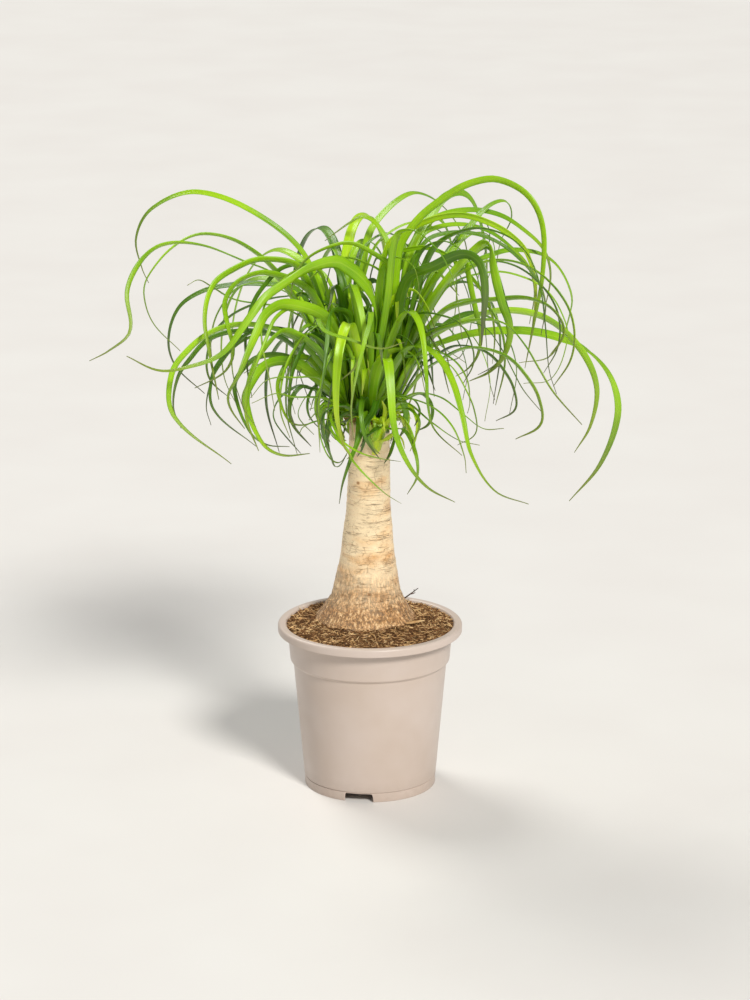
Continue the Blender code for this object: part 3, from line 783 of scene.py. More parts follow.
@dataclass(frozen=True)
class NurseryPot:
    """The thin moulded pot: rim turned out and down, stepped collar, notched foot ring."""

    height: float = 0.155
    wall: float = 0.0016
    rim_radius: float = 0.085
    rim_drop: float = 0.0076
    rim_roof: float = 0.0022
    collar_top: float = 0.0758
    lip_radius: float = 0.0778
    lip_drop: float = 0.0090
    collar_foot: float = 0.0737
    step_height: float = 0.1208
    step_drop: float = 0.0026
    body_top: float = 0.0708
    body_foot: float = 0.0611
    foot_radius: float = 0.0607
    foot_height: float = 0.0088
    foot_wall: float = 0.0026
    floor_thickness: float = 0.002
    notch_width: float = 0.027
    notch_height: float = 0.008
    notch_angles: tuple[float, ...] = (-100, 20, 140)
    drain_radius: float = 0.0055
    drain_circle: float = 0.043
    drain_count: int = 6
    floor_round: float = 0.003
    lip_round: float = 0.0014
    rim_round: float = 0.0024
    hem_round: float = 0.0007
    step_round: float = 0.0009
    foot_round: float = 0.0006
    notch_round: float = 0.0022
    steps_round: int = 192

    @staticmethod
    def corner(place: Pair, before: Pair, after: Pair, radius: float, steps: int = 5) -> Outline:
        """Rounds one corner of an outline.

        Args:
            place: the corner.
            before: a point that the outline comes from.
            after: a point that it goes to.
            radius: how far from the corner the arc starts.
            steps: the number of steps in the arc.

        Returns:
            The arc's points.
        """
        middle = Vector(place)
        start = middle + (Vector(before) - middle).normalized() * radius
        end = middle + (Vector(after) - middle).normalized() * radius
        return [tuple(p) for p in interpolate_bezier(
            start, start.lerp(middle, 0.55), end.lerp(middle, 0.55), end, steps + 1)]

    def outline(self) -> Outline:
        """Gives the section, from the floor's middle over the rim to the floor's underside."""
        floor_top = self.foot_height + self.floor_thickness
        top = (self.rim_radius, self.height)
        lip_foot = (self.collar_top - self.wall, self.height - self.lip_drop)
        inner_top = (self.lip_radius, self.height)
        rim_foot = (self.rim_radius, self.height - self.rim_drop)
        inner_step = (self.collar_foot - self.wall, self.step_height + 0.001)
        outer_step = (self.collar_foot, self.step_height)
        body_step = (self.body_top, self.step_height - self.step_drop)
        inner_floor = (self.body_foot - self.wall, floor_top)
        body_foot = (self.body_foot, self.foot_height + 0.0004)
        collar_top = (self.collar_top, self.height)
        ring_foot, ring_top = (self.foot_radius, 0.0), (self.foot_radius, self.foot_height)
        return [
            (0.0, floor_top),
            *self.corner(inner_floor, (0, floor_top), (self.body_top, self.step_height), self.floor_round),
            (self.body_top - self.wall, self.step_height - 0.001),
            inner_step,
            lip_foot,
            *self.corner(inner_top, lip_foot, top, self.lip_round),
            *self.corner(top, inner_top, rim_foot, self.rim_round, 8),
            *self.corner(rim_foot, top, (0, rim_foot[1]), self.hem_round),
            (self.rim_radius - self.wall, self.height - self.rim_drop),
            (self.rim_radius - self.wall, self.height - self.rim_roof),
            (self.lip_radius + self.wall, self.height - self.rim_roof),
            (self.collar_top, self.height - self.lip_drop),
            *self.corner(outer_step, collar_top, body_step, self.step_round),
            *self.corner(body_step, outer_step, body_foot, self.step_round),
            *self.corner(body_foot, body_step, ring_top, 0.0003, 2),
            (self.foot_radius - 0.0006, self.foot_height - 0.0002),
            (self.foot_radius, self.foot_height - 0.0008),
            *self.corner(ring_foot, ring_top, (0, 0), self.foot_round),
            (self.foot_radius - self.foot_wall, 0.0),
            (self.foot_radius - self.foot_wall, self.foot_height),
            (0.0, self.foot_height),
        ]

    def cutters(self) -> Mesh:
        """Makes the shapes that cut the foot's notches and the drain holes."""
        bm = bmesh.new()
        for angle in self.notch_angles:
            block = bmesh.ops.create_cube(bm, size=1.0)["verts"]
            for vert in block:
                upper = vert.co.z > 0
                vert.co.x *= self.foot_wall * 5
                vert.co.y *= self.notch_width * (0.94 if upper else 1.0)
                vert.co.z = self.notch_height if upper else -0.002
            along = [
                edge for edge in bm.edges
                if all(vert in block and vert.co.z > 0 for vert in edge.verts)
                and abs(edge.verts[0].co.x - edge.verts[1].co.x) > 1e-6
            ]
            rounded = bmesh.ops.bevel(
                bm, geom=along, offset=self.notch_round, affect="EDGES", offset_type="OFFSET",
                segments=4, profile=0.5, material=-1, clamp_overlap=True,
            )
            moved = {*block, *rounded["verts"]}
            turn = Matrix.Rotation(radians(angle), 4, "Z") @ Matrix.Translation((self.foot_radius, 0, 0))
            bmesh.ops.transform(bm, matrix=turn, verts=[vert for vert in moved if vert.is_valid])
        for number in range(self.drain_count):
            angle = 2 * pi * (number + 0.5) / self.drain_count
            hole = bmesh.ops.create_cone(bm, cap_ends=True, segments=28, radius1=self.drain_radius,
                                         radius2=self.drain_radius, depth=0.012)["verts"]
            centre = (self.drain_circle * cos(angle), self.drain_circle * sin(angle), self.foot_height)
            bmesh.ops.translate(bm, vec=centre, verts=hole)
        return mesh_from("pot_cutters", bm)

    def build(self) -> Object:
        """Makes the pot."""
        shell = loose_object("pot_shell", mesh_from("pot_shell", lathe(self.outline(), self.steps_round), 35))
        tool = loose_object("pot_cutters", self.cutters())
        cut = shell.modifiers.new("Cut", "BOOLEAN")
        cut.operation, cut.solver, cut.object = "DIFFERENCE", "EXACT", tool
        mesh = applied("pot_moulded", shell)
        bpy.data.objects.remove(tool, do_unlink=True)
        return add_piece("pot_moulded", mesh, Stuff.POT, ["pot"])


# --------------------------------------------------------------------------- soil


@dataclass(frozen=True)
class Soil:
    """The crust of the root ball, heaped to the trunk, and the loose bits on it."""

    edge_height: float = 0.1526
    heap_height: float = 0.158
    heap_radius: float = 0.052
    edge_radius: float = 0.0768
    floor: float = 0.0112
    foot_radius: float = 0.0592
    side: tuple[Pair, ...] = ((0.0738, 0.1455), (0.0718, 0.1225), (0.0690, 0.119))
    heap_drop: float = 0.0022
    lump: float = 0.0015
    grit: float = 0.0005
    trunk_clear: float = 0.040
    trunk_place: Pair = (-0.003, 0.010)
    fibre_count: int = 2300
    crumb_count: int = 900
    seed: int = 11

    def level(self, x: float, y: float) -> float:
        """Gives the crust's height at a place, lumps included.

        Args:
            x: the place's X.
            y: the place's Y.

        Returns:
            The height.
        """
        radius = sqrt(x * x + y * y)
        if radius < self.heap_radius:
            height = self.heap_height - self.heap_drop * (radius / self.heap_radius) ** 2
        else:
            share = (radius - self.heap_radius) / (self.edge_radius - self.heap_radius)
            height = blend(self.heap_height - self.heap_drop, self.edge_height, share**1.15)
        place = Vector((x, y, 0.0))
        coarse = noise.noise(place * 85) + 0.7 * noise.noise(place * 210)
        return height + self.lump * coarse + self.grit * noise.noise(place * 620)

    def crust(self) -> Object:
        """Makes the soil's body with its lumpy top."""
        rings = 46
        top = [(self.edge_radius * (number / rings), self.heap_height) for number in range(rings + 1)]
        bm = lathe([*top, *self.side, (self.foot_radius, self.floor), (0.0, self.floor)], 150)
        for vert in bm.verts:
            if vert.co.z > self.heap_height - 1e-5:
                vert.co.z = self.level(vert.co.x, vert.co.y)
        mesh = mesh_from("soil_crust", bm, ALL_SMOOTH)
        return add_piece("soil_crust", mesh, Stuff.SOIL, ["soil"])

    def spot(self, draw: Random, outer: float) -> Pair:
        """Draws a place on the crust, outside the trunk's foot.

        Args:
            draw: the source of the draws.
            outer: the largest radius.

        Returns:
            The place's X and Y.
        """
        while True:
            radius, angle = outer * sqrt(draw.random()), draw.uniform(0, 2 * pi)
            x, y = radius * cos(angle), radius * sin(angle)
            if (x - self.trunk_place[0]) ** 2 + (y - self.trunk_place[1]) ** 2 > self.trunk_clear**2:
                return x, y

    def fibres(
        self, name: str, count: int, finish: Stuff, length: Pair, radius: Pair, draw: Random
    ) -> Object:
        """Scatters curved fibres on the crust.

        Args:
            name: the piece's name.
            count: how many there are.
            finish: what they are.
            length: their shortest and longest length.
            radius: their smallest and largest radius.
            draw: the source of the draws.

        Returns:
            The piece.
        """
        paths = []
        outermost = self.edge_radius + 0.0006
        for _ in range(count):
            x, y = self.spot(draw, self.edge_radius - 0.0012)
            heading = draw.uniform(0, 2 * pi)
            tilt = draw.uniform(-0.30, 0.30) + 0.6 * draw.random() ** 4
            long, thick, bow = draw.uniform(*length), draw.uniform(*radius), draw.uniform(-0.28, 0.28)
            ahead = Vector((cos(heading) * cos(tilt), sin(heading) * cos(tilt), sin(tilt)))
            aside = Vector((-sin(heading), cos(heading), 0.35))
            start = Vector((x, y, self.level(x, y) + thick * 0.6))
            path = []
            for number, share in enumerate((-0.5, -0.17, 0.17, 0.5)):
                point = start + ahead * long * share + aside * bow * long * (0.25 - share * share)
                reach = sqrt(point.x**2 + point.y**2)
                if reach > outermost:
                    point.xy *= outermost / reach
                path.append((point, thick * (0.45, 1.0, 0.9, 0.35)[number]))
            paths.append(path)
        return add_piece(name, strands(name, paths), finish)

    def crumbs(self, draw: Random) -> Object:
        """Scatters small lumps of peat and bark on the crust.

        Args:
            draw: the source of the draws.

        Returns:
            The piece.
        """
        bm = bmesh.new()
        for _ in range(self.crumb_count):
            x, y = self.spot(draw, self.edge_radius - 0.002)
            size = draw.uniform(0.0005, 0.0015)
            lump = bmesh.ops.create_icosphere(bm, subdivisions=1, radius=size)["verts"]
            squash = [draw.uniform(*limits) for limits in ((0.7, 1.9), (0.7, 1.3), (0.4, 0.9))]
            spin = Matrix.Rotation(draw.uniform(0, 2 * pi), 4, "Z")
            spin = spin @ Matrix.Rotation(draw.uniform(-0.6, 0.6), 4, "X")
            put = Matrix.Translation((x, y, self.level(x, y) + size * 0.25))
            bmesh.ops.transform(bm, matrix=put @ spin @ Matrix.Diagonal((*squash, 1)), verts=lump)
        return add_piece("soil_crumbs", mesh_from("soil_crumbs", bm, 20), Stuff.SOIL)

    def splinter(self) -> Object:
        """Makes the pale splinter of wood at the trunk's foot."""
        long, wide, thick = 0.0185, 0.0026, 0.0016
        bm = bmesh.new()
        bmesh.ops.create_cube(bm, size=1.0)
        bmesh.ops.subdivide_edges(bm, edges=bm.edges, cuts=3, use_grid_fill=True)
        for vert in bm.verts:
            taper = 1.0 - 0.55 * abs(vert.co.x + 0.1) * 2
            vert.co = Vector((vert.co.x * long, vert.co.y * wide * taper, vert.co.z * thick * taper))
            vert.co.z += 0.0009 * sin(vert.co.x * 170) + 0.0004 * noise.noise(vert.co * 400)
        turn = Matrix.Translation((0.0415, -0.0183, 0.1606)) @ Matrix.Rotation(radians(21), 4, "Z")
        bmesh.ops.transform(bm, matrix=turn @ Matrix.Rotation(radians(4), 4, "Y"), verts=bm.verts)
        return add_piece("soil_splinter_pale", mesh_from("soil_splinter_pale", bm, 30), Stuff.STRAW,
                         ["soil_splinter"])

    def twig(self) -> Object:
        """Makes the thin dark twig that stands in the soil, with its side shoots."""
        stem = ((0.0210, 0.0600, 0.1530), (0.0270, 0.0600, 0.1562), (0.0330, 0.0600, 0.1592),
                (0.0375, 0.0590, 0.1630), (0.0412, 0.0582, 0.1660), (0.0450, 0.0570, 0.1696))
        side = (stem[3], (0.0402, 0.0592, 0.1634), (0.0424, 0.0590, 0.1646))
        spur = (stem[4], (0.0412, 0.0576, 0.1682))
        paths = []
        for shoot, thick, thin in ((stem, 0.0009, 0.00035), (side, 0.0005, 0.0003), (spur, 0.0003, 0.0003)):
            last = len(shoot) - 1
            paths.append([(Vector(p), blend(thick, thin, number / last)) for number, p in enumerate(shoot)])
        return add_piece("soil_twig_dark", strands("soil_twig_dark", paths, 2), Stuff.TWIG,
                         ["soil_twig"])

    def build(self) -> list[Object]:
        """Makes the crust and everything on it."""
        draw, count = Random(self.seed), self.fibre_count
        return [
            self.crust(),
            self.crumbs(draw),
            self.fibres("soil_coir", count, Stuff.COIR, (0.004, 0.012), (0.00022, 0.00050), draw),
            self.fibres("soil_straw", count // 2, Stuff.STRAW, (0.004, 0.013), (0.00022, 0.00055), draw),
            self.splinter(),
            self.twig(),
        ]


# --------------------------------------------------------------------------- trunk


@dataclass(frozen=True)
class Trunk:
    """The corky trunk, from its cut top down to the buried bulb."""

    place: Pair = (-0.0060, 0.010)
    lean: float = 1.0
    top: float = 0.3455
    lowest: float = 0.0975
    steps_round: int = 176
    row_height: float = 0.00085
    flare_height: float = 0.19
    profile: tuple[Pair, ...] = (
        (0.0187, 0.3410), (0.0187, 0.3250), (0.0190, 0.3020), (0.0195, 0.2830), (0.0206, 0.2600),
        (0.0224, 0.2417), (0.0241, 0.2258), (0.0276, 0.2028), (0.0323, 0.1796), (0.0372, 0.1705),
        (0.0430, 0.1618), (0.0488, 0.1535), (0.0520, 0.1430), (0.0495, 0.1250), (0.0400, 0.1080),
        (0.0220, 0.0990),
    )
    # Relief layers: how often one changes round the trunk and up it, and how far it stands out.
    smooth_layers: tuple[Triple, ...] = (
        (1.1, 30, 0.0007), (0.9, 210, 0.00042), (2.6, 430, 0.00028), (14, 700, 0.00010),
    )
    flare_layers: tuple[Triple, ...] = ((7, 42, 0.0011), (20, 300, 0.00055))

    def outline(self) -> Outline:
        """Gives a smooth section, with rows close enough to carry the rings of the bark."""
        curve = smooth_route([Vector((radius, height, 0)) for radius, height in self.profile], 12)
        rows = int((self.top - self.lowest) / self.row_height)
        side = [(point.x, point.y) for point in even_points(curve, rows)]
        lip = [(0.006, self.top - 0.0004), (0.011, self.top - 0.0002), (0.0150, self.top - 0.0002),
               (0.0172, self.top - 0.0009), (0.0183, self.top - 0.0025)]
        return [(0.0, self.top - 0.0004), *lip, *side, (0.010, self.lowest), (0.0, self.lowest)]

    def relief(self, angle: float, height: float) -> float:
        """Gives how far the bark stands proud at a place.

        Args:
            angle: the place's angle round the trunk.
            height: its height.

        Returns:
            The distance in metres, below zero in a hollow.
        """
        flare = step_between(self.flare_height + 0.02, self.flare_height - 0.02, height)
        stands = [
            sum(
                deep * noise.noise(Vector((cos(angle) * across, sin(angle) * across, height * up)))
                for across, up, deep in layers
            )
            for layers in (self.smooth_layers, self.flare_layers)
        ]
        return stands[0] + flare * stands[1]

    def build(self) -> Object:
        """Makes the trunk."""
        bm = lathe(self.outline(), self.steps_round)
        for vert in bm.verts:
            radius = sqrt(vert.co.x**2 + vert.co.y**2)
            if radius > 1e-5:
                share = step_between(0.004, 0.016, radius)
                stand = self.relief(atan2(vert.co.y, vert.co.x), vert.co.z) * share
                vert.co.xy *= (radius + stand) / radius
                if vert.co.z > self.top - 0.003:
                    vert.co.z += 0.0008 * noise.noise(vert.co * 260) * share - 0.0004 * share
        lean = Matrix.Translation((*self.place, 0)) @ Matrix.Rotation(radians(self.lean), 4, "Y")
        bmesh.ops.transform(bm, matrix=lean, verts=bm.verts)
        mesh = mesh_from("trunk_corky", bm, ALL_SMOOTH)
        return add_piece("trunk_corky", mesh, Stuff.BARK, ["trunk"])


# --------------------------------------------------------------------------- buds and leaves

ROUTE_SCALE = 0.98  # the courses are drawn for a slightly larger plant than stands in this pot


@dataclass(frozen=True)
class Bud:
    """A stout bud of sheathing leaf bases. Its places and radii are in centimetres."""

    foot: Triple
    top: Triple
    foot_radius: float
    top_radius: float
    # The core finish by default is the dark green of painted shade.
    finish: Tone | Stuff = Stuff.CORE
    scales: int = 16

    @property
    def length(self) -> float:
        """The bud's length."""
        return (Vector(self.top) - Vector(self.foot)).length

    def at(self, rise: float) -> Vector:
        """Gives the point on the axis this far above the foot."""
        foot, top = Vector(self.foot), Vector(self.top)
        return foot + (top - foot) * rise / self.length

    def radius(self, rise: float) -> float:
        """Gives the radius this far above the foot."""
        return blend(self.foot_radius, self.top_radius, rise / self.length)

    def build(self, name: str) -> Object:
        """Makes the bud as a tapering, slightly fluted core with a pointed top.

        Args:
            name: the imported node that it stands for.

        Returns:
            The piece.
        """
        rows, tip = 14, self.length * CM
        side = []
        for number in range(rows, -1, -1):
            belly = 0.86 + 0.14 * sin(pi * number / rows)
            side.append((self.radius(self.length * number / rows) * CM * belly, tip * number / rows))
        bm = lathe([(0.0, tip + 0.0022), (self.top_radius * CM * 0.5, tip + 0.0013), *side, (0.0, 0.0)], 30)
        for vert in bm.verts:
            flute = 1 + 0.07 * sin(5 * atan2(vert.co.y, vert.co.x) + vert.co.z * 90)
            vert.co.xy *= flute
        axis = Vector(self.top) - Vector(self.foot)
        put = Matrix.Translation(Vector(self.foot) * CM) @ axis.to_track_quat("Z", "Y").to_matrix().to_4x4()
        bmesh.ops.transform(bm, matrix=put, verts=bm.verts)
        foot = self.foot[2] * CM
        strap_map(bm, lambda vert: (0.5, 0.05 + 0.1 * (vert.co.z - foot) / max(axis.z * CM, 1e-6)))
        mesh = mesh_from(f"{name}_core", bm, ALL_SMOOTH)
        return add_piece(f"{name}_core", mesh, self.finish, [name])


def strap_map(bm: Shape, where: Callable[[bmesh.types.BMVert], tuple[float, float]]) -> None:
    """Gives a shape a UV map.

    Args:
        bm: the shape.
        where: the shares across and along for a vertex.
    """
    layer = bm.loops.layers.uv.verify()
    for face in bm.faces:
        for loop in face.loops:
            loop[layer].uv = where(loop.vert)


@dataclass(frozen=True)
class StrapLeaf:
    """One long strap leaf on its course.

    Attributes:
        bud: the bud that it grows from.
        rise: how far up the bud it leaves, in centimetres.
        width: its greatest width in centimetres.
        front: how far it turns its face to the front, in hundredths, at even shares of its length.
        route: the midrib's places after it leaves the bud, in centimetres.
        tone: how bright it is.
        twist: a further turn in degrees, at even shares of its length.
        taper: how late it narrows. At 1 it narrows evenly, and above 1 it stays wide for longer.
        steps_along: the number of faces along it.
        steps_across: the number of faces across it.
        thickness: its thickness in metres.
        wobble: how far it turns to and fro along its length, in radians.
        ripple: how wavy its edges are, as a share of its width.
    """

    bud: str
    rise: float
    width: float
    front: tuple[float, ...]
    route: tuple[Triple, ...]
    tone: Tone | None = None
    twist: tuple[float, ...] = (0, 0)
    taper: float = 2.2
    steps_along: int = 78
    steps_across: int = 6
    thickness: float = 0.00055
    wobble: float = 0.16
    ripple: float = 0.05

    def breadth(self, share: float) -> float:
        """Gives the width at this share of the length, against the widest."""
        if share < 0.3:
            clasp = 0.42 * step_between(0.05, 0.0, share)
            return 0.55 + 0.45 * sin(share / 0.3 * pi / 2) + clasp
        fall = (share - 0.3) / 0.7
        return 0.05 + 0.95 * (1 - fall**self.taper)

    @staticmethod
    def channel(share: float) -> float:
        """Gives how deeply the strap is folded at this share of its length."""
        return 0.26 + 0.75 * step_between(0.09, 0.0, share) - 0.12 * step_between(0.5, 1.0, share)

    @staticmethod
    def between(values: tuple[float, ...], share: float) -> float:
        """Reads values that are set at even shares of the length.

        Args:
            values: the values.
            share: the share of the length.

        Returns:
            The value there.
        """
        place = share * (len(values) - 1)
        start = min(int(place), len(values) - 2)
        return blend(values[start], values[start + 1], place - start)

    @staticmethod
    def to_front(ahead: Vector, across: Vector, before: float) -> float:
        """Finds the turn that brings the strap's face to the front.

        Args:
            ahead: the way that the strap runs.
            across: the way that its width lies.
            before: the turn one step back.

        Returns:
            The turn in radians, eased from the one before.
        """
        aim = ahead.cross(Vector((0, 1, 0)))
        angle = atan2(across.cross(aim).dot(ahead), across.dot(aim))
        while angle - before > pi / 2:
            angle -= pi
        while angle - before < -pi / 2:
            angle += pi
        return blend(before, angle, 0.3 * min(1.0, aim.length * 1.5))

    def midrib(self) -> tuple[list[Vector], Vector]:
        """Gives evenly spaced points along the midrib, and the way that the leaf faces at its base."""
        bud = BUDS[self.bud]
        centre = bud.at(self.rise)
        outward = Vector(self.route[0]) * ROUTE_SCALE - centre
        outward.z = 0
        outward.normalize()
        start = centre + outward * (bud.radius(self.rise) + 0.14)
        sunk = max(self.rise - 1.3, -0.5)
        root = bud.at(sunk) + outward * bud.radius(sunk) * 0.86
        route = [root, start, *(Vector(place) * ROUTE_SCALE for place in self.route)]
        return [point * CM for point in even_points(smooth_route(route), self.steps_along)], outward

    def build(self, name: str, fallback: Tone, stands_for: Iterable[str] = ()) -> Object:
        """Bends a flat grid into the channelled strap and gives it its thickness.

        Args:
            name: the piece's name.
            fallback: its tone if it has none of its own.
            stands_for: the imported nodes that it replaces.

        Returns:
            The piece.
        """
        points, outward = self.midrib()
        across = Vector((0, 0, 1)).cross(outward)
        last = self.steps_along
        seed = Vector((sum(self.route[0]), self.width * 7, self.rise))
        rows, facing = [], 0.0
        for number, point in enumerate(points):
            ahead = (points[min(number + 1, last)] - points[max(number - 1, 0)]).normalized()
            across = (across - ahead * across.dot(ahead)).normalized()
            share = number / last
            wobble = self.wobble * noise.noise(seed + Vector((share * 5, 0, 0)))
            facing = self.to_front(ahead, across, facing)
            turned = facing * self.between(self.front, share) / 100 + radians(self.between(self.twist, share))
            turn = Matrix.Rotation(turned + wobble, 3, ahead)
            side = turn @ across
            rows.append((point, side, ahead.cross(side), self.width * CM * self.breadth(share), share))
        bm = bmesh.new()
        bm.loops.layers.uv.verify()
        bmesh.ops.create_grid(bm, x_segments=self.steps_across, y_segments=last, size=0.5, calc_uvs=True)
        strap_map(bm, lambda vert: (vert.co.x + 0.5, vert.co.y + 0.5))
        for vert in bm.verts:
            point, side, up, width, share = rows[round((vert.co.y + 0.5) * last)]
            off = vert.co.x
            ripple = self.ripple * noise.noise(seed + Vector((off * 2, share * 16, 4)))
            lift = self.channel(share) * (abs(off) * 2) ** 1.6 * 0.5 + ripple * abs(off)
            vert.co = point + side * width * off + up * width * lift
        mesh = mesh_from(name, bm, ALL_SMOOTH)
        piece = add_piece(name, mesh, self.tone or fallback, stands_for)
        return thicken(piece, self.thickness)


BUDS: dict[str, Bud] = {
    "head_right": Bud((0.95, 1.40, 34.72), (2.35, 1.75, 41.2), 1.00, 0.62),
    "head_left": Bud((-1.35, 1.40, 34.74), (-2.70, 1.10, 40.6), 0.98, 0.60),
    "head_front": Bud((-0.15, -0.35, 34.72), (0.25, -1.55, 40.9), 0.88, 0.55),
    "shoot_front": Bud((0.55, -1.30, 32.3), (0.95, -2.10, 34.4), 0.38, 0.28, Tone.YOUNG, 0),
    "shoot_left": Bud((-2.50, 0.30, 32.9), (-3.30, -0.10, 34.9), 0.30, 0.20, Tone.MIDDLE, 0),
}

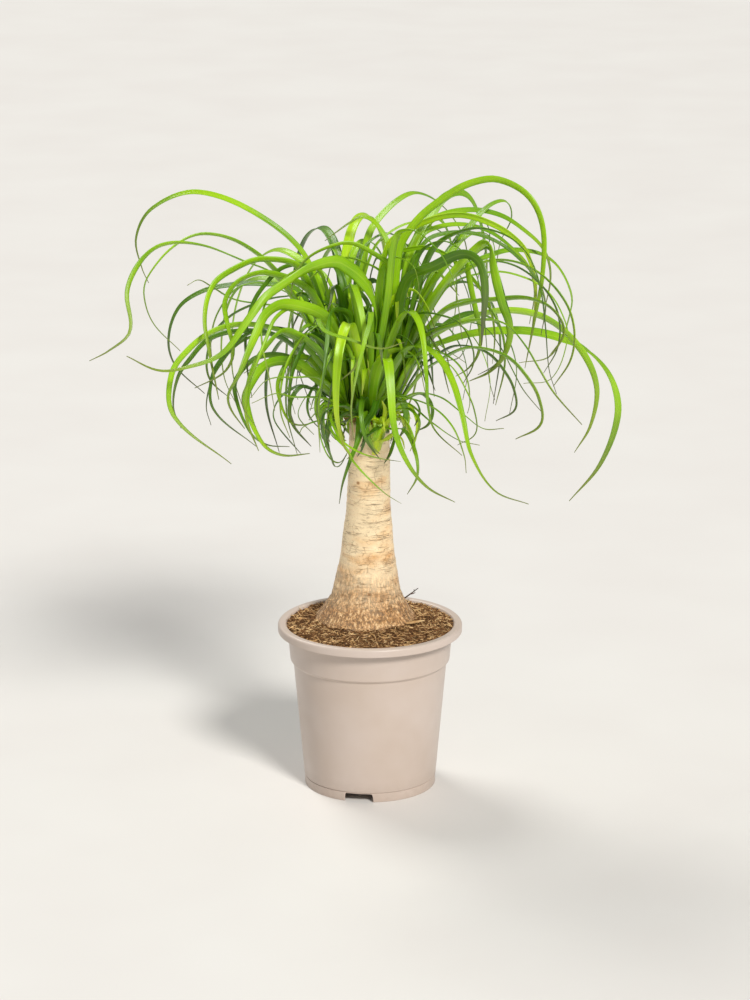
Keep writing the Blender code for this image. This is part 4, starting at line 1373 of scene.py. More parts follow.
LEAVES: dict[str, StrapLeaf] = {
    # Left side, from the highest arch down.
    "leaf_left_01": StrapLeaf("head_left", 5.2, 0.62, (0, 40, 60, 60), (
        (-5.6, 1.5, 49.9), (-9.7, 2.0, 54.0), (-15.8, 3.5, 56.2), (-20.1, 4.5, 54.5),
        (-21.7, 5.0, 51.6), (-21.2, 5.0, 48.7), (-20.6, 5.0, 47.3))),
    "leaf_left_02": StrapLeaf("head_left", 4.4, 0.78, (0, 30, 40, 30), (
        (-8.0, -1.0, 48.9), (-11.5, -3.0, 52.6), (-15.0, -4.0, 53.8), (-17.6, -5.0, 52.9),
        (-19.9, -6.0, 50.4), (-20.3, -6.5, 48.8), (-19.5, -7.0, 46.3), (-17.1, -7.0, 43.7)), taper=1.5),
    "leaf_left_03": StrapLeaf("head_left", 3.4, 0.80, (0, 10, 0, 80, 90), (
        (-8.4, -2.5, 49.3), (-11.6, -5.0, 51.6), (-15.1, -8.0, 53.6), (-18.2, -10.5, 54.2),
        (-20.1, -12.5, 53.2), (-21.3, -14.0, 50.8), (-21.0, -15.8, 47.6), (-22.8, -16.8, 46.1),
        (-24.5, -17.3, 45.3))),
    "leaf_left_04": StrapLeaf("head_left", 2.6, 0.85, (0, 30, 60, 60), (
        (-6.3, -4.4, 50.6), (-9.6, -5.6, 51.8), (-12.2, -7.0, 51.2), (-14.0, -8.2, 50.0),
        (-14.7, -9.8, 47.4), (-14.2, -11.0, 44.1), (-13.5, -11.0, 40.2))),
    "leaf_left_05": StrapLeaf("head_left", 3.9, 0.70, (0, 20, 40, 60), (
        (-6.4, 2.5, 46.9), (-10.0, 3.5, 47.5), (-12.9, 5.0, 47.1), (-15.8, 6.5, 46.1),
        (-18.0, 7.5, 44.3), (-19.0, 8.0, 41.2), (-18.4, 8.5, 38.5), (-15.7, 8.5, 35.8))),
    "leaf_left_06": StrapLeaf("head_left", 1.95, 0.85, (0, 20, 60, 80, 40), (
        (-5.8, -2.3, 42.8), (-8.1, -4.5, 44.9), (-11.3, -7.0, 46.1), (-13.9, -8.5, 45.9),
        (-16.0, -9.5, 44.6), (-17.7, -10.5, 42.4), (-17.5, -11.5, 38.8), (-12.4, -12.0, 34.5)), taper=1.8),
    "leaf_left_07": StrapLeaf("head_left", 1.4, 0.78, (0, 20, 60, 80, 40), (
        (-6.4, -0.5, 41.9), (-9.0, -1.5, 43.9), (-12.5, -3.0, 44.5), (-14.7, -4.0, 44.0),
        (-16.3, -5.5, 42.6), (-17.4, -6.0, 41.0), (-17.8, -7.0, 38.5), (-17.1, -7.5, 36.6)), taper=1.8),
    "leaf_left_08": StrapLeaf("head_left", 2.28, 1.12, (0, 40, 90, 100, 90, 50, 30), (
        (-3.8, -5.0, 46.0), (-7.2, -7.5, 48.1), (-9.1, -10.0, 47.9), (-10.1, -11.5, 46.3),
        (-11.6, -13.5, 43.0), (-12.5, -14.0, 41.4), (-12.3, -14.0, 40.1), (-11.1, -14.0, 38.3))),
    "leaf_left_09": StrapLeaf("head_left", 0.5, 0.85, (0, 30, 60, 60), (
        (-4.2, -3.7, 42.3), (-7.2, -5.5, 45.1), (-8.5, -7.0, 45.0), (-10.5, -9.0, 42.5),
        (-11.1, -10.5, 38.7), (-10.0, -10.5, 35.3))),
    "leaf_left_10": StrapLeaf("head_left", 1.0, 1.05, (30, 90, 90, 60, 40), (
        (-6.4, -2.5, 41.2), (-9.2, -5.0, 42.0), (-10.9, -7.0, 40.3), (-11.1, -7.0, 38.5),
        (-9.7, -6.5, 34.9), (-8.0, -6.0, 33.7), (-5.5, -5.5, 33.7)), taper=1.6),
    "leaf_left_11": StrapLeaf("head_left", 0.3, 0.60, (0, 10, 10, 10), (
        (-4.6, 0.5, 37.8), (-6.2, -0.8, 38.8), (-7.3, -2.0, 37.6), (-7.1, -2.8, 35.8),
        (-5.4, -3.4, 33.8))),
    "leaf_left_12": StrapLeaf("head_left", 1.2, 0.60, (0, 10, 10, 10), (
        (-6.4, 2.1, 38.1), (-7.6, 2.4, 37.5), (-8.4, 2.6, 36.8), (-9.0, 3.0, 35.4),
        (-8.7, 3.0, 34.2), (-6.5, 3.0, 31.4))),
    "leaf_left_13": StrapLeaf("head_left", 3.4, 0.75, (0, 10, 40, 40), (
        (-6.5, 5.5, 45.5), (-9.5, 8.0, 47.0), (-12.5, 10.5, 45.5), (-14.0, 12.0, 41.5),
        (-14.0, 12.5, 36.5), (-12.5, 12.5, 33.0))),
    # Towards the viewer.
    "leaf_front_01": StrapLeaf("head_front", 5.4, 1.35, (0, 0), (
        (0.5, -3.2, 47.5), (-2.4, -6.0, 51.5), (-4.9, -7.5, 51.6), (-7.3, -9.0, 50.5),
        (-9.3, -10.5, 49.4), (-10.9, -11.5, 47.5), (-13.1, -12.5, 44.8), (-16.1, -13.0, 43.7),
        (-18.7, -13.5, 43.5), (-21.5, -13.5, 44.8)), twist=(30, 82, 36, 10, 66, 86, 84), taper=0.9),
    "leaf_front_02": StrapLeaf("head_front", 1.2, 0.40, (0, 10, 0, 0), (
        (-1.9, -4.6, 43.2), (-2.9, -7.5, 44.3), (-4.0, -9.0, 42.7), (-4.6, -9.5, 39.0),
        (-4.5, -9.5, 34.9)), taper=1.6),
    "leaf_front_03": StrapLeaf("head_front", 2.2, 1.00, (0, 0, 0, 10), (
        (-1.4, -4.9, 44.2), (-2.0, -7.0, 46.2), (-2.8, -9.5, 43.8), (-3.0, -10.0, 38.9),
        (-2.4, -9.6, 35.7), (-1.7, -9.4, 34.4)), taper=2.0),
    "leaf_front_04": StrapLeaf("head_front", 0.9, 1.00, (0, 0, 0, 20), (
        (0.6, -4.5, 41.2), (1.5, -7.3, 43.0), (1.8, -9.0, 41.6), (2.2, -10.5, 37.4),
        (3.4, -10.5, 34.2), (5.2, -10.5, 31.9), (7.7, -10.5, 30.5)), taper=1.2),
    "leaf_front_05": StrapLeaf("head_front", 2.8, 0.85, (0, 0, 20, 40), (
        (2.2, -4.2, 44.6), (3.5, -6.5, 47.2), (4.5, -8.5, 46.3), (5.0, -10.5, 42.7),
        (5.2, -11.0, 39.6), (5.8, -11.0, 37.4), (8.3, -11.0, 35.0)), taper=1.5),
    "leaf_front_06": StrapLeaf("head_front", 1.8, 1.10, (0, 10, 20, 40), (
        (3.4, -4.6, 43.2), (5.5, -9.0, 44.1), (6.6, -11.0, 43.3), (7.5, -13.0, 41.8),
        (8.2, -14.5, 39.5), (9.0, -15.8, 36.3), (11.1, -16.0, 33.1), (14.1, -16.0, 31.9)), taper=1.3),
    "leaf_front_07": StrapLeaf("head_front", 4.3, 0.75, (0, 0, 30, 60), (
        (-1.4, -4.4, 48.0), (-1.5, -7.0, 49.8), (-0.9, -8.7, 48.4), (-0.5, -9.8, 45.5),
        (-1.2, -10.0, 43.1), (-2.6, -9.5, 41.6))),
    "leaf_front_08": StrapLeaf("head_front", 4.1, 0.70, (0, 0, 20, 40), (
        (1.7, -4.6, 48.4), (2.4, -6.5, 54.1), (3.8, -8.2, 55.0), (5.2, -9.7, 54.4),
        (6.5, -11.0, 53.1), (7.5, -12.0, 50.9), (8.2, -12.5, 46.0))),
    "leaf_front_09": StrapLeaf("head_front", 3.3, 0.55, (0, 0, 10, 20), (
        (0.1, -6.6, 46.8), (0.0, -12.0, 47.4), (-0.8, -15.8, 45.2), (-1.6, -17.6, 41.4),
        (-1.4, -17.9, 38.2)), taper=1.5),
    "leaf_front_10": StrapLeaf("head_front", 0.4, 0.50, (0, 0, 10, 20), (
        (-0.3, -3.0, 38.0), (-0.6, -4.8, 38.7), (-0.8, -6.4, 37.6), (-0.3, -7.0, 35.4),
        (1.0, -6.8, 33.4))),
    # Right side, from the highest arch down.
    "leaf_right_01": StrapLeaf("head_right", 5.9, 0.74, (0, 20, 50, 70), (
        (2.6, 0.3, 51.0), (4.2, -0.5, 54.2), (7.0, -1.0, 56.7), (9.2, -1.5, 58.0),
        (11.6, -2.0, 58.4), (14.3, -3.0, 57.1), (15.6, -3.6, 54.4), (15.6, -4.5, 50.1),
        (14.9, -5.0, 46.0), (14.1, -5.0, 41.6))),
    "leaf_right_02": StrapLeaf("head_right", 1.4, 0.95, (0, 10, 20, 40, 50, 60, 30, 60, 100, 100, 70), (
        (4.8, 2.6, 41.1), (6.9, 4.2, 41.8), (9.6, 6.3, 42.1), (12.4, 8.4, 41.9),
        (15.3, 10.2, 41.4), (18.3, 12.0, 40.3), (21.1, 14.0, 38.4), (23.4, 15.8, 35.2),
        (24.1, 16.8, 31.4), (22.5, 17.0, 26.5), (19.5, 16.5, 22.9)), taper=3.0),
    "leaf_right_03": StrapLeaf("head_right", 1.1, 0.85, (0, 20, 30, 40, 50, 30, 90, 90, 50), (
        (5.1, 0.7, 42.3), (8.8, 1.2, 44.6), (12.7, 3.0, 45.1), (16.4, 4.5, 44.0),
        (19.7, 6.0, 40.8), (21.4, 7.0, 36.9), (20.9, 7.0, 33.1), (19.4, 7.0, 30.4)), taper=2.6),
    "leaf_right_04": StrapLeaf("head_right", 5.7, 0.76, (0, 20, 40, 60), (
        (0.9, 2.6, 48.0), (1.8, 3.0, 51.6), (3.7, 3.5, 52.8), (6.0, 4.0, 53.7),
        (8.4, 4.5, 53.9), (10.7, 5.0, 53.2), (12.9, 5.5, 51.9), (14.6, 6.0, 50.0),
        (15.5, 6.0, 46.6), (15.2, 6.0, 42.9))),
    "leaf_right_05": StrapLeaf("head_right", 4.3, 0.75, (0, 20, 40, 60), (
        (3.4, 3.4, 49.2), (4.8, 4.8, 52.4), (6.5, 6.1, 53.4), (9.4, 8.0, 53.6),
        (12.2, 9.0, 52.9), (14.6, 10.0, 51.2), (16.4, 10.5, 49.3), (17.1, 11.0, 46.7),
        (16.6, 11.0, 43.4))),
    "leaf_right_06": StrapLeaf("head_right", 4.4, 0.85, (0, 40, 30, 60), (
        (6.0, 2.7, 48.2), (8.6, 5.6, 51.5), (10.9, 8.0, 53.8), (12.7, 9.6, 54.1),
        (13.3, 10.6, 52.4), (12.3, 11.0, 49.9), (11.9, 10.5, 47.4))),
    "leaf_right_07": StrapLeaf("head_right", 4.2, 0.95, (0, 30, 20, 50, 90, 90, 60), (
        (5.3, -1.6, 46.4), (7.5, -3.5, 50.0), (9.8, -5.0, 52.8), (10.6, -6.0, 53.3),
        (11.0, -7.0, 51.6), (11.8, -8.0, 48.4), (12.6, -8.0, 45.9), (12.1, -8.0, 43.6),
        (10.8, -7.5, 41.9), (9.0, -7.0, 40.9)), taper=3.0),
    "leaf_right_08": StrapLeaf("head_right", 4.9, 0.95, (30, 60, 60, 90, 100, 100), (
        (3.2, -4.6, 49.4), (5.9, -7.6, 51.7), (8.3, -9.8, 53.2), (9.7, -11.2, 52.7),
        (10.2, -12.0, 50.6), (10.1, -12.0, 48.2), (9.9, -12.0, 45.4)), taper=4.0),
    "leaf_right_09": StrapLeaf("head_right", 3.9, 0.65, (0, 20, 40, 60), (
        (7.5, 4.8, 47.6), (11.9, 8.0, 49.5), (15.2, 11.0, 49.0), (17.4, 13.0, 47.6),
        (18.9, 14.0, 45.2), (19.3, 14.5, 42.9), (17.5, 14.0, 38.3), (14.3, 13.0, 37.7))),
    "leaf_right_10": StrapLeaf("head_right", 3.3, 0.80, (0, 20, 40, 60), (
        (6.6, -0.2, 47.8), (9.1, -1.8, 50.1), (11.3, -3.3, 51.2), (13.6, -4.6, 51.2),
        (15.8, -5.7, 50.1), (17.7, -6.7, 47.9), (18.4, -7.2, 45.5), (18.1, -7.2, 42.9),
        (16.6, -7.0, 40.4))),
    "leaf_right_11": StrapLeaf("head_right", 2.5, 0.95, (0, 20, 40, 60), (
        (6.2, -1.9, 45.6), (8.6, -3.5, 47.2), (11.7, -5.1, 48.0), (14.3, -6.5, 48.4),
        (16.4, -7.8, 47.7), (17.4, -8.6, 45.8), (16.0, -8.6, 43.4))),
    "leaf_right_12": StrapLeaf("head_right", 1.2, 0.90, (0, 20, 40, 60), (
        (5.0, -2.4, 43.6), (7.7, -5.2, 45.6), (10.3, -7.7, 46.7), (12.2, -9.6, 46.7),
        (13.8, -11.1, 45.2), (15.1, -12.1, 43.2), (16.4, -12.7, 41.2), (18.9, -13.0, 38.4)), taper=1.4),
    "leaf_right_13": StrapLeaf("head_right", 5.15, 0.80, (0, 30, 40, 40), (
        (5.5, -0.3, 51.1), (9.1, -3.4, 54.1), (12.2, -5.6, 54.0), (14.2, -7.5, 52.5),
        (15.2, -8.6, 49.9), (15.7, -9.0, 46.4), (16.1, -9.0, 42.4), (16.8, -9.0, 40.2))),
    "leaf_right_14": StrapLeaf("head_right", 0.3, 0.90, (0, 20, 60, 60), (
        (4.9, -0.6, 40.0), (6.5, -3.4, 41.9), (8.5, -6.0, 43.6), (10.4, -8.2, 44.1),
        (12.4, -9.8, 43.7), (14.0, -10.7, 42.2), (15.1, -11.0, 40.3), (15.3, -11.0, 37.9),
        (13.1, -10.5, 36.4))),
    "leaf_right_15": StrapLeaf("head_right", 2.6, 0.75, (0, 10, 30, 40), (
        (6.2, 5.4, 42.4), (9.6, 8.4, 43.6), (12.4, 11.0, 41.6), (14.0, 12.4, 37.4),
        (13.4, 12.6, 32.6))),
    # Over the top.
    "leaf_top_01": StrapLeaf("head_left", 6.0, 0.86, (0, 10, 20, 20), (
        (-0.7, 3.6, 48.8), (0.0, 5.5, 51.9), (1.3, 7.0, 53.5), (2.9, 8.5, 54.6),
        (4.3, 10.0, 54.8), (6.2, 12.0, 53.7), (7.8, 13.0, 51.9), (9.0, 13.6, 49.5),
        (9.4, 13.8, 46.8))),
    "leaf_top_02": StrapLeaf("head_left", 4.4, 0.95, (0, 0, 10, 20), (
        (-2.3, 4.6, 48.4), (-1.9, 7.0, 51.2), (-1.2, 9.0, 52.5), (-0.2, 11.3, 52.4),
        (0.7, 13.2, 51.0), (1.3, 14.4, 48.7), (1.9, 15.3, 42.5))),
    "leaf_top_03": StrapLeaf("head_right", 5.9, 0.85, (0, 10, 20, 20), (
        (1.8, 4.2, 47.5), (3.6, 6.6, 49.7), (5.2, 7.8, 52.1), (6.6, 9.2, 54.2),
        (8.1, 10.0, 54.9), (9.5, 11.5, 53.9), (10.5, 12.7, 51.2), (11.1, 13.4, 47.0),
        (10.6, 13.5, 41.5))),
    "leaf_top_04": StrapLeaf("head_right", 5.4, 0.65, (0, 10, 20, 30), (
        (1.6, -2.0, 48.8), (1.7, -4.0, 50.9), (0.2, -5.0, 52.3), (-1.8, -5.5, 53.3),
        (-3.8, -6.0, 53.0), (-5.6, -6.5, 52.1), (-6.7, -7.0, 50.7), (-7.1, -7.0, 48.8))),
    # Away from the viewer.
    "leaf_back_01": StrapLeaf("head_left", 2.6, 0.85, (0, 10, 20, 30), (
        (-4.5, 6.0, 46.5), (-8.0, 11.0, 49.0), (-11.0, 15.0, 47.0), (-13.0, 17.0, 42.0),
        (-13.4, 17.5, 36.0), (-12.2, 17.4, 31.4))),
    "leaf_back_02": StrapLeaf("head_left", 3.5, 0.90, (0, 0, 20, 30), (
        (-2.7, 6.0, 48.0), (-4.2, 11.4, 51.0), (-6.2, 15.4, 49.2), (-7.4, 17.4, 44.0),
        (-7.2, 17.5, 37.0), (-5.8, 17.0, 32.5))),
    "leaf_back_03": StrapLeaf("head_right", 3.1, 0.90, (0, 0, 20, 30), (
        (2.2, 7.0, 47.0), (3.2, 12.4, 49.4), (4.4, 16.2, 46.5), (4.9, 17.6, 40.5),
        (4.3, 17.6, 34.0), (2.8, 16.9, 30.5))),
    "leaf_back_04": StrapLeaf("head_right", 3.5, 0.80, (0, 0, 20, 30), (
        (4.6, 5.6, 44.4), (8.4, 11.0, 46.0), (11.4, 15.2, 43.4), (12.6, 17.2, 38.4),
        (12.0, 17.4, 32.5))),
    "leaf_back_05": StrapLeaf("head_left", 0.7, 0.75, (0, 0, 10, 30), (
        (-4.0, 4.8, 40.4), (-7.0, 9.0, 41.4), (-9.4, 12.5, 38.4), (-10.0, 14.0, 33.4),
        (-8.8, 14.0, 28.5))),
    "leaf_back_06": StrapLeaf("head_left", 1.6, 0.75, (0, 0, 10, 30), (
        (-1.0, 5.2, 41.0), (-1.6, 10.0, 42.4), (-1.8, 13.8, 39.4), (-1.4, 15.4, 34.0),
        (-0.2, 15.2, 29.4))),
}

# Leaves between the main ones, seen from the front but with no imported node of their own.
# Those given the deep greens are darkened partly as painted shade.
THIN_LEAVES: dict[str, StrapLeaf] = {
    "leaf_thin_01": StrapLeaf("head_left", 0.9, 0.50, (0, 20, 30), (
        (-4.5, -5.0, 40.6), (-6.7, -7.0, 41.2), (-9.2, -9.0, 41.5), (-10.7, -10.0, 40.1))),
    "leaf_thin_02": StrapLeaf("head_left", 0.2, 0.45, (0, 20, 30), (
        (-4.0, -3.5, 38.3), (-7.1, -7.0, 39.4), (-8.5, -8.5, 40.1), (-10.6, -10.0, 39.6))),
    "leaf_thin_03": StrapLeaf("head_front", 0.3, 0.75, (0, 30, 20), (
        (-1.8, -3.2, 37.2), (-2.7, -5.0, 38.0), (-3.9, -6.0, 37.8), (-4.3, -7.0, 36.8),
        (-4.0, -7.5, 35.4), (-3.5, -7.5, 34.0), (-3.0, -7.5, 33.0), (-2.1, -7.0, 34.0)), Tone.DEEP),
    "leaf_thin_04": StrapLeaf("head_left", 0.1, 0.60, (0, 10, 10), (
        (-3.6, -1.6, 35.9), (-4.8, -3.0, 36.1), (-6.1, -4.0, 35.8), (-6.5, -4.0, 35.1))),
    "leaf_thin_05": StrapLeaf("head_front", 0.5, 0.60, (0, 20, 20), (
        (1.4, -3.2, 38.4), (2.7, -5.0, 38.9), (5.4, -7.0, 38.6), (7.4, -9.0, 37.2), (8.5, -10.0, 34.7),
        (8.7, -10.0, 33.1))),
    "leaf_thin_06": StrapLeaf("head_right", 0.4, 0.55, (0, 20, 20), (
        (3.2, -3.6, 38.0), (5.6, -7.0, 37.0), (8.0, -9.0, 35.9), (9.9, -10.0, 35.7))),
    "leaf_thin_07": StrapLeaf("head_right", 0.5, 0.55, (0, 20, 30), (
        (4.1, -2.0, 38.4), (6.4, -4.0, 38.6), (8.4, -6.0, 37.6), (10.3, -8.0, 36.7), (12.1, -9.0, 37.0))),
    "leaf_thin_08": StrapLeaf("head_right", 2.2, 0.70, (0, 20, 30), (
        (5.0, -3.0, 42.7), (7.4, -6.0, 42.7), (8.7, -8.0, 41.4), (9.0, -9.0, 39.4), (8.8, -9.0, 38.4))),
    "leaf_thin_09": StrapLeaf("head_front", 0.1, 0.50, (0, 10, 10, 0), (
        (1.9, -3.4, 35.4), (3.1, -5.6, 35.9), (4.1, -7.4, 34.4), (4.3, -8.4, 32.4),
        (3.4, -8.6, 30.7)), Tone.MIDDLE),
    "leaf_thin_10": StrapLeaf("head_front", 0.2, 0.50, (0, 10, 10), (
        (3.0, -3.9, 37.5), (4.1, -6.0, 37.6), (4.5, -7.0, 36.8), (3.9, -7.0, 35.1))),
    "leaf_thin_11": StrapLeaf("head_right", 3.2, 0.50, (0, 20, 40, 50), (
        (6.4, 0.4, 45.5), (9.9, 0.3, 46.7), (11.9, -0.6, 44.5), (12.4, -1.0, 41.0), (11.6, -1.0, 37.1))),
    "leaf_thin_12": StrapLeaf("head_right", 6.1, 0.55, (0, 10, 20), (
        (1.9, 3.0, 50.6), (0.7, 4.0, 53.0), (-0.7, 5.0, 53.6), (-1.9, 5.5, 52.9), (-3.3, 6.0, 51.8),
        (-4.2, 6.0, 51.1))),
    "leaf_thin_13": StrapLeaf("head_front", 5.1, 0.80, (0, 10, 20), (
        (1.0, -3.2, 49.4), (2.0, -4.6, 51.7), (3.8, -6.0, 51.4), (4.3, -6.5, 50.1), (4.5, -6.5, 48.1))),
    "leaf_thin_14": StrapLeaf("head_left", 3.0, 0.50, (0, 10, 10, 40), (
        (-3.3, -4.5, 44.5), (-4.6, -8.5, 47.0), (-3.9, -11.3, 46.5), (-1.8, -12.5, 46.1), (0.9, -12.3, 45.2),
        (3.1, -11.5, 45.6)), Tone.MIDDLE),
    "leaf_thin_15": StrapLeaf("head_left", 3.0, 0.45, (0, 20, 40), (
        (-5.0, 0.0, 44.0), (-8.0, -1.0, 46.3), (-10.3, -2.0, 46.9), (-12.5, -3.0, 47.6), (-14.4, -4.0, 49.0),
        (-15.5, -4.5, 49.7), (-16.5, -5.0, 49.3))),
    "leaf_thin_16": StrapLeaf("head_left", 3.8, 0.45, (0, 20, 40), (
        (-5.5, 1.2, 45.5), (-9.5, 1.2, 48.0), (-12.0, 1.1, 47.8), (-13.4, 1.0, 46.4), (-14.3, 1.0, 44.7),
        (-14.7, 1.0, 42.7), (-14.6, 1.0, 40.6))),
    "leaf_thin_17": StrapLeaf("head_left", 3.8, 0.85, (0, 30, 50, 50), (
        (-5.2, -3.5, 48.0), (-9.0, -6.0, 50.6), (-11.6, -7.5, 50.3), (-12.9, -8.0, 48.6), (-12.8, -8.0, 46.7),
        (-12.3, -8.0, 44.5), (-12.4, -8.0, 43.1), (-13.3, -8.0, 41.8), (-15.8, -8.0, 40.5)), Tone.MIDDLE),
    "leaf_thin_18": StrapLeaf("head_front", 0.6, 0.62, (0, 20, 40), (
        (0.6, -3.2, 38.1), (0.3, -4.6, 37.4), (-0.5, -5.8, 36.4), (-1.2, -6.6, 34.8), (-1.8, -7.0, 33.4),
        (-2.5, -7.0, 31.2), (-2.8, -6.8, 29.3)), Tone.DEEP, taper=1.5),
    "leaf_thin_19": StrapLeaf("head_left", 0.3, 0.24, (0, 20, 40), (
        (-3.6, -4.5, 36.0), (-3.0, -6.2, 35.3), (-2.1, -7.2, 34.6), (-1.5, -7.8, 33.6), (-0.3, -8.2, 32.3),
        (1.4, -8.3, 30.7), (2.9, -8.2, 29.7))),
    "leaf_thin_20": StrapLeaf("head_left", 0.6, 0.62, (0, 40, 60), (
        (-4.3, -3.4, 37.4), (-4.6, -4.6, 36.1), (-4.4, -5.2, 34.9), (-3.7, -5.6, 33.4), (-2.8, -6.0, 33.0),
        (-2.0, -6.4, 34.1))),
    "leaf_thin_21": StrapLeaf("head_front", 0.2, 0.55, (0, 0), (
        (0.9, -2.9, 35.6), (0.5, -4.4, 35.7), (-0.3, -5.2, 35.2), (-0.9, -5.4, 34.3)), Tone.DEEP),
    "leaf_thin_22": StrapLeaf("head_left", 0.5, 0.24, (0, 20, 20), (
        (-3.6, -4.6, 37.2), (-2.6, -7.6, 35.6), (-1.0, -9.0, 34.8), (0.7, -9.2, 34.3), (2.8, -9.0, 33.9)),
        Tone.MIDDLE),
    "leaf_thin_23": StrapLeaf("shoot_front", 1.5, 0.72, (0, 10, 20), (
        (1.5, -2.9, 35.6), (2.1, -3.3, 36.5), (2.7, -3.7, 36.5), (3.1, -4.0, 35.8)), Tone.YOUNG),
    "leaf_thin_24": StrapLeaf("shoot_front", 1.8, 0.66, (0, 0, 0), (
        (1.3, -2.8, 35.9), (1.4, -3.1, 37.2), (1.1, -3.5, 38.2)), Tone.YOUNG),
    "leaf_thin_25": StrapLeaf("shoot_front", 0.9, 0.62, (20, 40, 40), (
        (1.5, -2.7, 34.2), (2.2, -3.0, 34.8), (2.9, -3.3, 34.5), (3.2, -3.5, 33.6)), Tone.YOUNG),
    "leaf_thin_26": StrapLeaf("shoot_front", 1.2, 0.60, (0, 10, 20), (
        (0.7, -2.8, 35.2), (0.6, -3.3, 36.2), (0.1, -3.8, 36.4), (-0.4, -4.2, 35.7)), Tone.YOUNG),
}

# The bright leaves take the fresh greens, partly painted light; the deep leaves take the deep greens, partly
# painted shade.
BRIGHT_LEAVES = ("leaf_front_03", "leaf_top_02", "leaf_right_04")
DEEP_LEAVES = (
    "leaf_left_11", "leaf_left_12", "leaf_back_05", "leaf_right_15", "leaf_front_10", "leaf_right_08",
    "leaf_right_13", "leaf_left_05", "leaf_left_07", "leaf_back_02", "leaf_back_04",
)
# These leaves stand clear of the others, so no slimmer leaf goes beside them.
LONE_LEAVES = (
    "leaf_left_01", "leaf_left_02", "leaf_left_03", "leaf_right_01", "leaf_right_02", "leaf_right_03",
    "leaf_right_08", "leaf_back_03", "leaf_back_04",
)


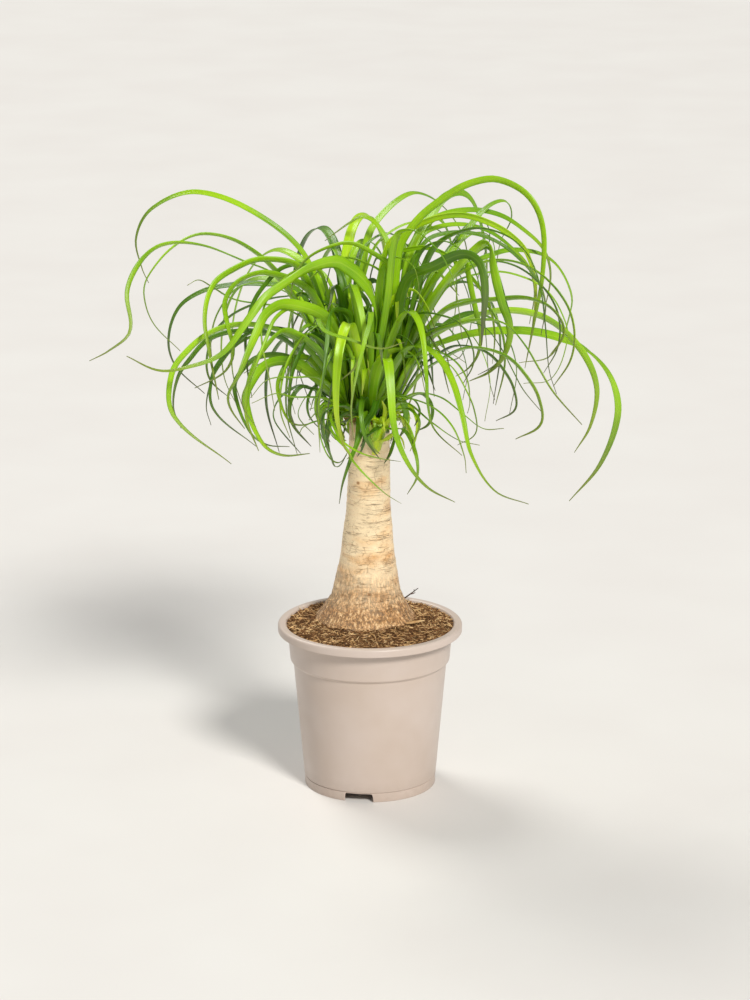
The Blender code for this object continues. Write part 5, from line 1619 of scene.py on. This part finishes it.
@dataclass(frozen=True)
class Crown:
    """Everything green: buds, main leaves, thin leaves, those beside them and the short inner ones."""

    seed: int = 5
    partner_count: int = 44
    skirt_count: int = 13
    inner_count: int = 60
    shoot_leaf_count: int = 6
    scale_thickness: float = 0.0004

    @staticmethod
    def main_tone(name: str) -> Tone:
        """Chooses the tone of one of the main leaves."""
        if name in BRIGHT_LEAVES:
            return Tone.FRESH_AND_LIT
        return Tone.DEEP if name in DEEP_LEAVES else Tone.MIDDLE

    def partner(self, leaf: StrapLeaf, draw: Random) -> StrapLeaf:
        """Draws a slimmer leaf that goes beside a main one.

        Args:
            leaf: the main leaf.
            draw: the source of the draws.

        Returns:
            The leaf.
        """
        bud = Vector(BUDS[leaf.bud].top)
        shrink = draw.uniform(0.58, 0.90)
        swing = Matrix.Rotation(radians(draw.uniform(-26, 26)), 3, "Z")
        lower = draw.uniform(0.2, 2.0)
        route = []
        for number, place in enumerate(leaf.route):
            away = swing @ (Vector(place) - bud)
            share = number / (len(leaf.route) - 1)
            away = Vector((away.x * shrink, away.y * shrink, away.z * blend(0.95, shrink, share)))
            point = bud + away
            point.z -= lower * share
            route.append(tuple(point))
        rise = min(BUDS[leaf.bud].length, max(0.2, leaf.rise + draw.uniform(-0.7, 0.3)))
        width = leaf.width * draw.uniform(0.38, 0.80)
        return replace(leaf, rise=rise, width=width, route=tuple(route), tone=None)

    @staticmethod
    def course(
        centre: Vector, angle: float, reach: float, aside: float, steps: Iterable[Triple]
    ) -> tuple[Triple, ...]:
        """Gives the places of a short leaf that leaves a bud. Everything is in centimetres.

        Args:
            centre: the point on the bud's axis that it starts from.
            angle: its heading round the Z axis.
            reach: how far one step out takes it.
            aside: how far one step aside takes it.
            steps: for each place, the steps out, the steps aside and the height above the centre.

        Returns:
            The places.
        """
        away = Vector((cos(angle), sin(angle), 0))
        side = Vector((-sin(angle), cos(angle), 0)) * aside
        return tuple(
            tuple(centre + away * reach * out + side * over + Vector((0, 0, high)))
            for out, over, high in steps
        )

    def inner(self, bud_name: str, number: int, count: int, draw: Random) -> StrapLeaf:
        """Draws one of the short leaves that fill the crown's middle.

        Args:
            bud_name: the bud that it grows from.
            number: its number among them.
            count: how many the bud has.
            draw: the source of the draws.

        Returns:
            The leaf.
        """
        bud = BUDS[bud_name]
        share = number / count
        angle = number * GOLDEN_TURN + draw.uniform(-0.2, 0.2)
        rise = bud.length * (0.1 + 0.85 * share)
        centre = bud.at(rise)
        reach = draw.uniform(4.6, 8.4) * (1.0 - 0.30 * share)
        high = draw.uniform(3.5, 8.5) + 2.0 * share
        fall, aside = draw.uniform(1.5, 6.0), draw.uniform(-3.0, 3.0)
        course = self.course(centre, angle, reach, aside, (
            (0.42, 0, high * 0.78), (0.78, 0.5, high), (1.05, 0.8, high * 0.86), (1.25, 1, high - fall),
        ))
        width = draw.uniform(0.40, 0.82)
        front = (0, draw.uniform(0, 40), draw.uniform(0, 70))
        return StrapLeaf(bud_name, rise, width, front, course, steps_along=52)

    def skirt(self, bud_name: str, number: int, draw: Random) -> StrapLeaf:
        """Draws one of the short curling leaves at the foot of a bud.

        Args:
            bud_name: the bud that it grows from.
            number: its number among them.
            draw: the source of the draws.

        Returns:
            The leaf.
        """
        bud = BUDS[bud_name]
        angle = 2 * pi * number / self.skirt_count + draw.uniform(-0.25, 0.25)
        aside = draw.uniform(-1.6, 1.6)
        centre, reach = bud.at(draw.uniform(0.2, 1.2)), draw.uniform(2.2, 4.0)
        lift, fall = draw.uniform(0.5, 2.4), draw.uniform(1.6, 3.6)
        course = self.course(centre, angle, reach, aside, (
            (0.62, 0, lift * 0.8), (0.95, 0.25, lift), (1.18, 0.6, lift - fall * 0.45),
            (1.10, 1, lift - fall), (draw.uniform(0.7, 1.0), 1.5, lift - fall * 1.3),
        ))
        rise, width = draw.uniform(0.1, 0.9), draw.uniform(0.50, 0.90)
        front = (10, draw.uniform(20, 70), draw.uniform(30, 90))
        return StrapLeaf(bud_name, rise, width, front, course, taper=1.7, steps_along=44)

    def young(self, bud_name: str, number: int, draw: Random) -> StrapLeaf:
        """Draws a leaf of one of the young shoots.

        Args:
            bud_name: the shoot.
            number: its number on the shoot.
            draw: the source of the draws.

        Returns:
            The leaf.
        """
        bud = BUDS[bud_name]
        outward = Vector(bud.top) - Vector(bud.foot)
        heading = atan2(outward.y, outward.x) + (number - (self.shoot_leaf_count - 1) / 2) * 0.6
        centre, reach = bud.at(bud.length * 0.5), draw.uniform(0.9, 1.7)
        course = self.course(centre, heading, reach, 0, [
            (far, 0, high * draw.uniform(0.8, 1.1))
            for far, high in ((0.6, 2.0), (1.1, 3.2), (1.9, 3.4), (2.6, 2.5))
        ])
        rise, width = bud.length * (0.30 + 0.10 * number), draw.uniform(0.40, 0.60)
        return StrapLeaf(bud_name, rise, width, (0, 0, 10), course, steps_along=34)

    def bud_scales(self, name: str, draw: Random) -> Object:
        """Makes the ring of short dry scales round the foot of a bud.

        Args:
            name: the bud.
            draw: the source of the draws.

        Returns:
            The piece.
        """
        bud = BUDS[name]
        bm = bmesh.new()
        for number in range(bud.scales):
            angle = 2 * pi * number / bud.scales + draw.uniform(-0.15, 0.15)
            away, round_it = Vector((cos(angle), sin(angle), 0)), Vector((-sin(angle), cos(angle), 0))
            tall, wide = draw.uniform(0.35, 0.95), draw.uniform(0.28, 0.46) * bud.foot_radius
            lean = draw.uniform(0.02, 0.26)
            scale = bmesh.ops.create_grid(bm, x_segments=4, y_segments=5, size=0.5)["verts"]
            for vert in scale:
                off, share = vert.co.x, vert.co.y + 0.5
                narrow = 1 - 0.82 * share**1.5
                bend = (0.10 + lean * share * share) - 0.5 * (off * narrow) ** 2 * wide
                place = Vector(bud.at(tall * share - 0.22)) + away * (bud.foot_radius + bend)
                vert.co = (place + round_it * off * 2 * wide * narrow) * CM
        mesh = mesh_from(f"{name}_scales", bm, ALL_SMOOTH)
        return thicken(add_piece(f"{name}_scales", mesh, Stuff.SCALE), self.scale_thickness)

    def build(self) -> list[Object]:
        """Makes the whole crown."""
        draw = Random(self.seed)
        made = [bud.build(name) for name, bud in BUDS.items()]
        made += [self.bud_scales(name, draw) for name, bud in BUDS.items() if bud.scales]
        made += [leaf.build(f"{name}_strap", self.main_tone(name), [name]) for name, leaf in LEAVES.items()]
        made += [leaf.build(name, Tone.MIDDLE) for name, leaf in THIN_LEAVES.items()]
        parents = [leaf for name, leaf in LEAVES.items() if name not in LONE_LEAVES and "front" not in name]
        # Every other partner takes the deep greens, partly as painted shade among the main leaves.
        for number in range(self.partner_count):
            leaf = self.partner(parents[(number * 7) % len(parents)], draw)
            made.append(leaf.build(f"leaf_partner_{number + 1:02d}", (Tone.MIDDLE, Tone.DEEP)[number % 2]))
        heads = [name for name in BUDS if name.startswith("head")]
        per_head = self.inner_count // len(heads)
        # Half the inner and skirt leaves take the deep greens, partly as painted shade in the crowded middle
        # of the crown.
        tones = (Tone.MIDDLE, Tone.DEEP, Tone.FRESH_AND_LIT, Tone.DEEP)
        for place, name in enumerate(heads):
            for number in range(per_head):
                leaf = self.inner(name, number, per_head, draw)
                made.append(leaf.build(f"leaf_inner_{place * per_head + number + 1:02d}", tones[number % 4]))
            for number in range(self.skirt_count):
                leaf = self.skirt(name, number, draw)
                number += place * self.skirt_count + 1
                made.append(leaf.build(f"leaf_skirt_{number:02d}", tones[number % 4]))
        for place, (name, tone) in enumerate((("shoot_front", Tone.YOUNG), ("shoot_left", Tone.MIDDLE))):
            for number in range(self.shoot_leaf_count):
                leaf = self.young(name, number, draw)
                made.append(leaf.build(f"leaf_young_{place * self.shoot_leaf_count + number + 1:02d}", tone))
        return made


# --------------------------------------------------------------------------- studio


@dataclass(frozen=True)
class Studio:
    """The plain pale floor, the soft lights and the camera."""

    floor_radius: float = 16.0
    camera_distance: float = 3.2
    camera_height: float = 1.185
    camera_aside: float = 0.0046
    pitch: float = 15.93
    lens: float = 131.04
    room_light: float = 0.26
    room_seen: float = 0.86

    def floor(self) -> Object:
        """Makes the pale floor."""
        bm = bmesh.new()
        bmesh.ops.create_circle(bm, cap_ends=True, segments=96, radius=self.floor_radius)
        plane = loose_object("floor", mesh_from("floor", bm))
        graph = Graph("floor_pale")
        soft = graph.clouds(graph.place(), 5.0, 2.0)
        colour = graph.mix(graph.span(soft, 0.3, 0.7), shade(229, 227, 223), shade(226, 223, 219))
        plane.data.materials.append(graph.dress(colour, 0.5, Specular_IOR_Level=0.3))
        return plane

    @staticmethod
    def sun(name: str, toward: Sequence[float], strength: float, spread: float, colour: Colour) -> None:
        """Adds a distant light with a soft edge.

        Args:
            name: the light's name.
            toward: the way from the plant to the light.
            strength: how strong it is, in watts to a square metre.
            spread: how wide it looks, in degrees.
            colour: its colour.
        """
        data = bpy.data.lights.new(name, "SUN")
        data.energy, data.angle, data.color = strength, radians(spread), colour
        loose_object(name, data).rotation_euler = Vector(toward).to_track_quat("Z", "Y").to_euler()

    def lights(self) -> None:
        """Lights the room evenly, with the key from the upper right and a light behind the leaves."""
        world = bpy.data.worlds.new("pale_room")
        world.use_nodes = True
        nodes, links = world.node_tree.nodes, world.node_tree.links
        light, seen = nodes["Background"], nodes.new("ShaderNodeBackground")
        for background, strength in ((light, self.room_light), (seen, self.room_seen)):
            background.inputs["Color"].default_value = (0.98, 0.98, 1.0, 1.0)
            background.inputs["Strength"].default_value = strength
        choose = nodes.new("ShaderNodeMixShader")
        links.new(nodes.new("ShaderNodeLightPath").outputs["Is Camera Ray"], choose.inputs[0])
        links.new(light.outputs[0], choose.inputs[1])
        links.new(seen.outputs[0], choose.inputs[2])
        links.new(choose.outputs[0], nodes["World Output"].inputs["Surface"])
        bpy.context.scene.world = world
        self.sun("key", (0.50, -1.0, 0.90), 2.95, 14, (1.0, 0.98, 0.94))
        self.sun("back", (-0.6, 0.8, 1.1), 1.5, 26, (1.0, 0.99, 0.95))

    def camera(self) -> None:
        """Sets the camera in front, above the plant and looking down at it."""
        data = bpy.data.cameras.new("view")
        data.lens, data.sensor_width = self.lens, 36.0
        camera = loose_object("view", data)
        camera.location = (self.camera_aside, -self.camera_distance, self.camera_height)
        camera.rotation_euler = (radians(90 - self.pitch), 0, 0)
        bpy.context.scene.camera = camera

    def build(self) -> None:
        """Makes the camera, the floor and the lights."""
        self.camera()
        self.floor()
        self.lights()
        bpy.context.scene.view_settings.view_transform = "Standard"


def main() -> None:
    """Builds the object and its studio."""
    Studio().build()
    for part in (NurseryPot(), Soil(), Trunk(), Crown()):
        made = part.build()
        pieces = made if isinstance(made, list) else [made]
        LOG.info("%s: %d pieces", type(part).__name__, len(pieces))
        for piece in pieces:
            LOG.debug("%s: %d faces", piece.name, len(piece.data.polygons))


if __name__ == "__main__":
    logging.basicConfig(level=logging.INFO, format="%(name)s %(message)s")
    main()
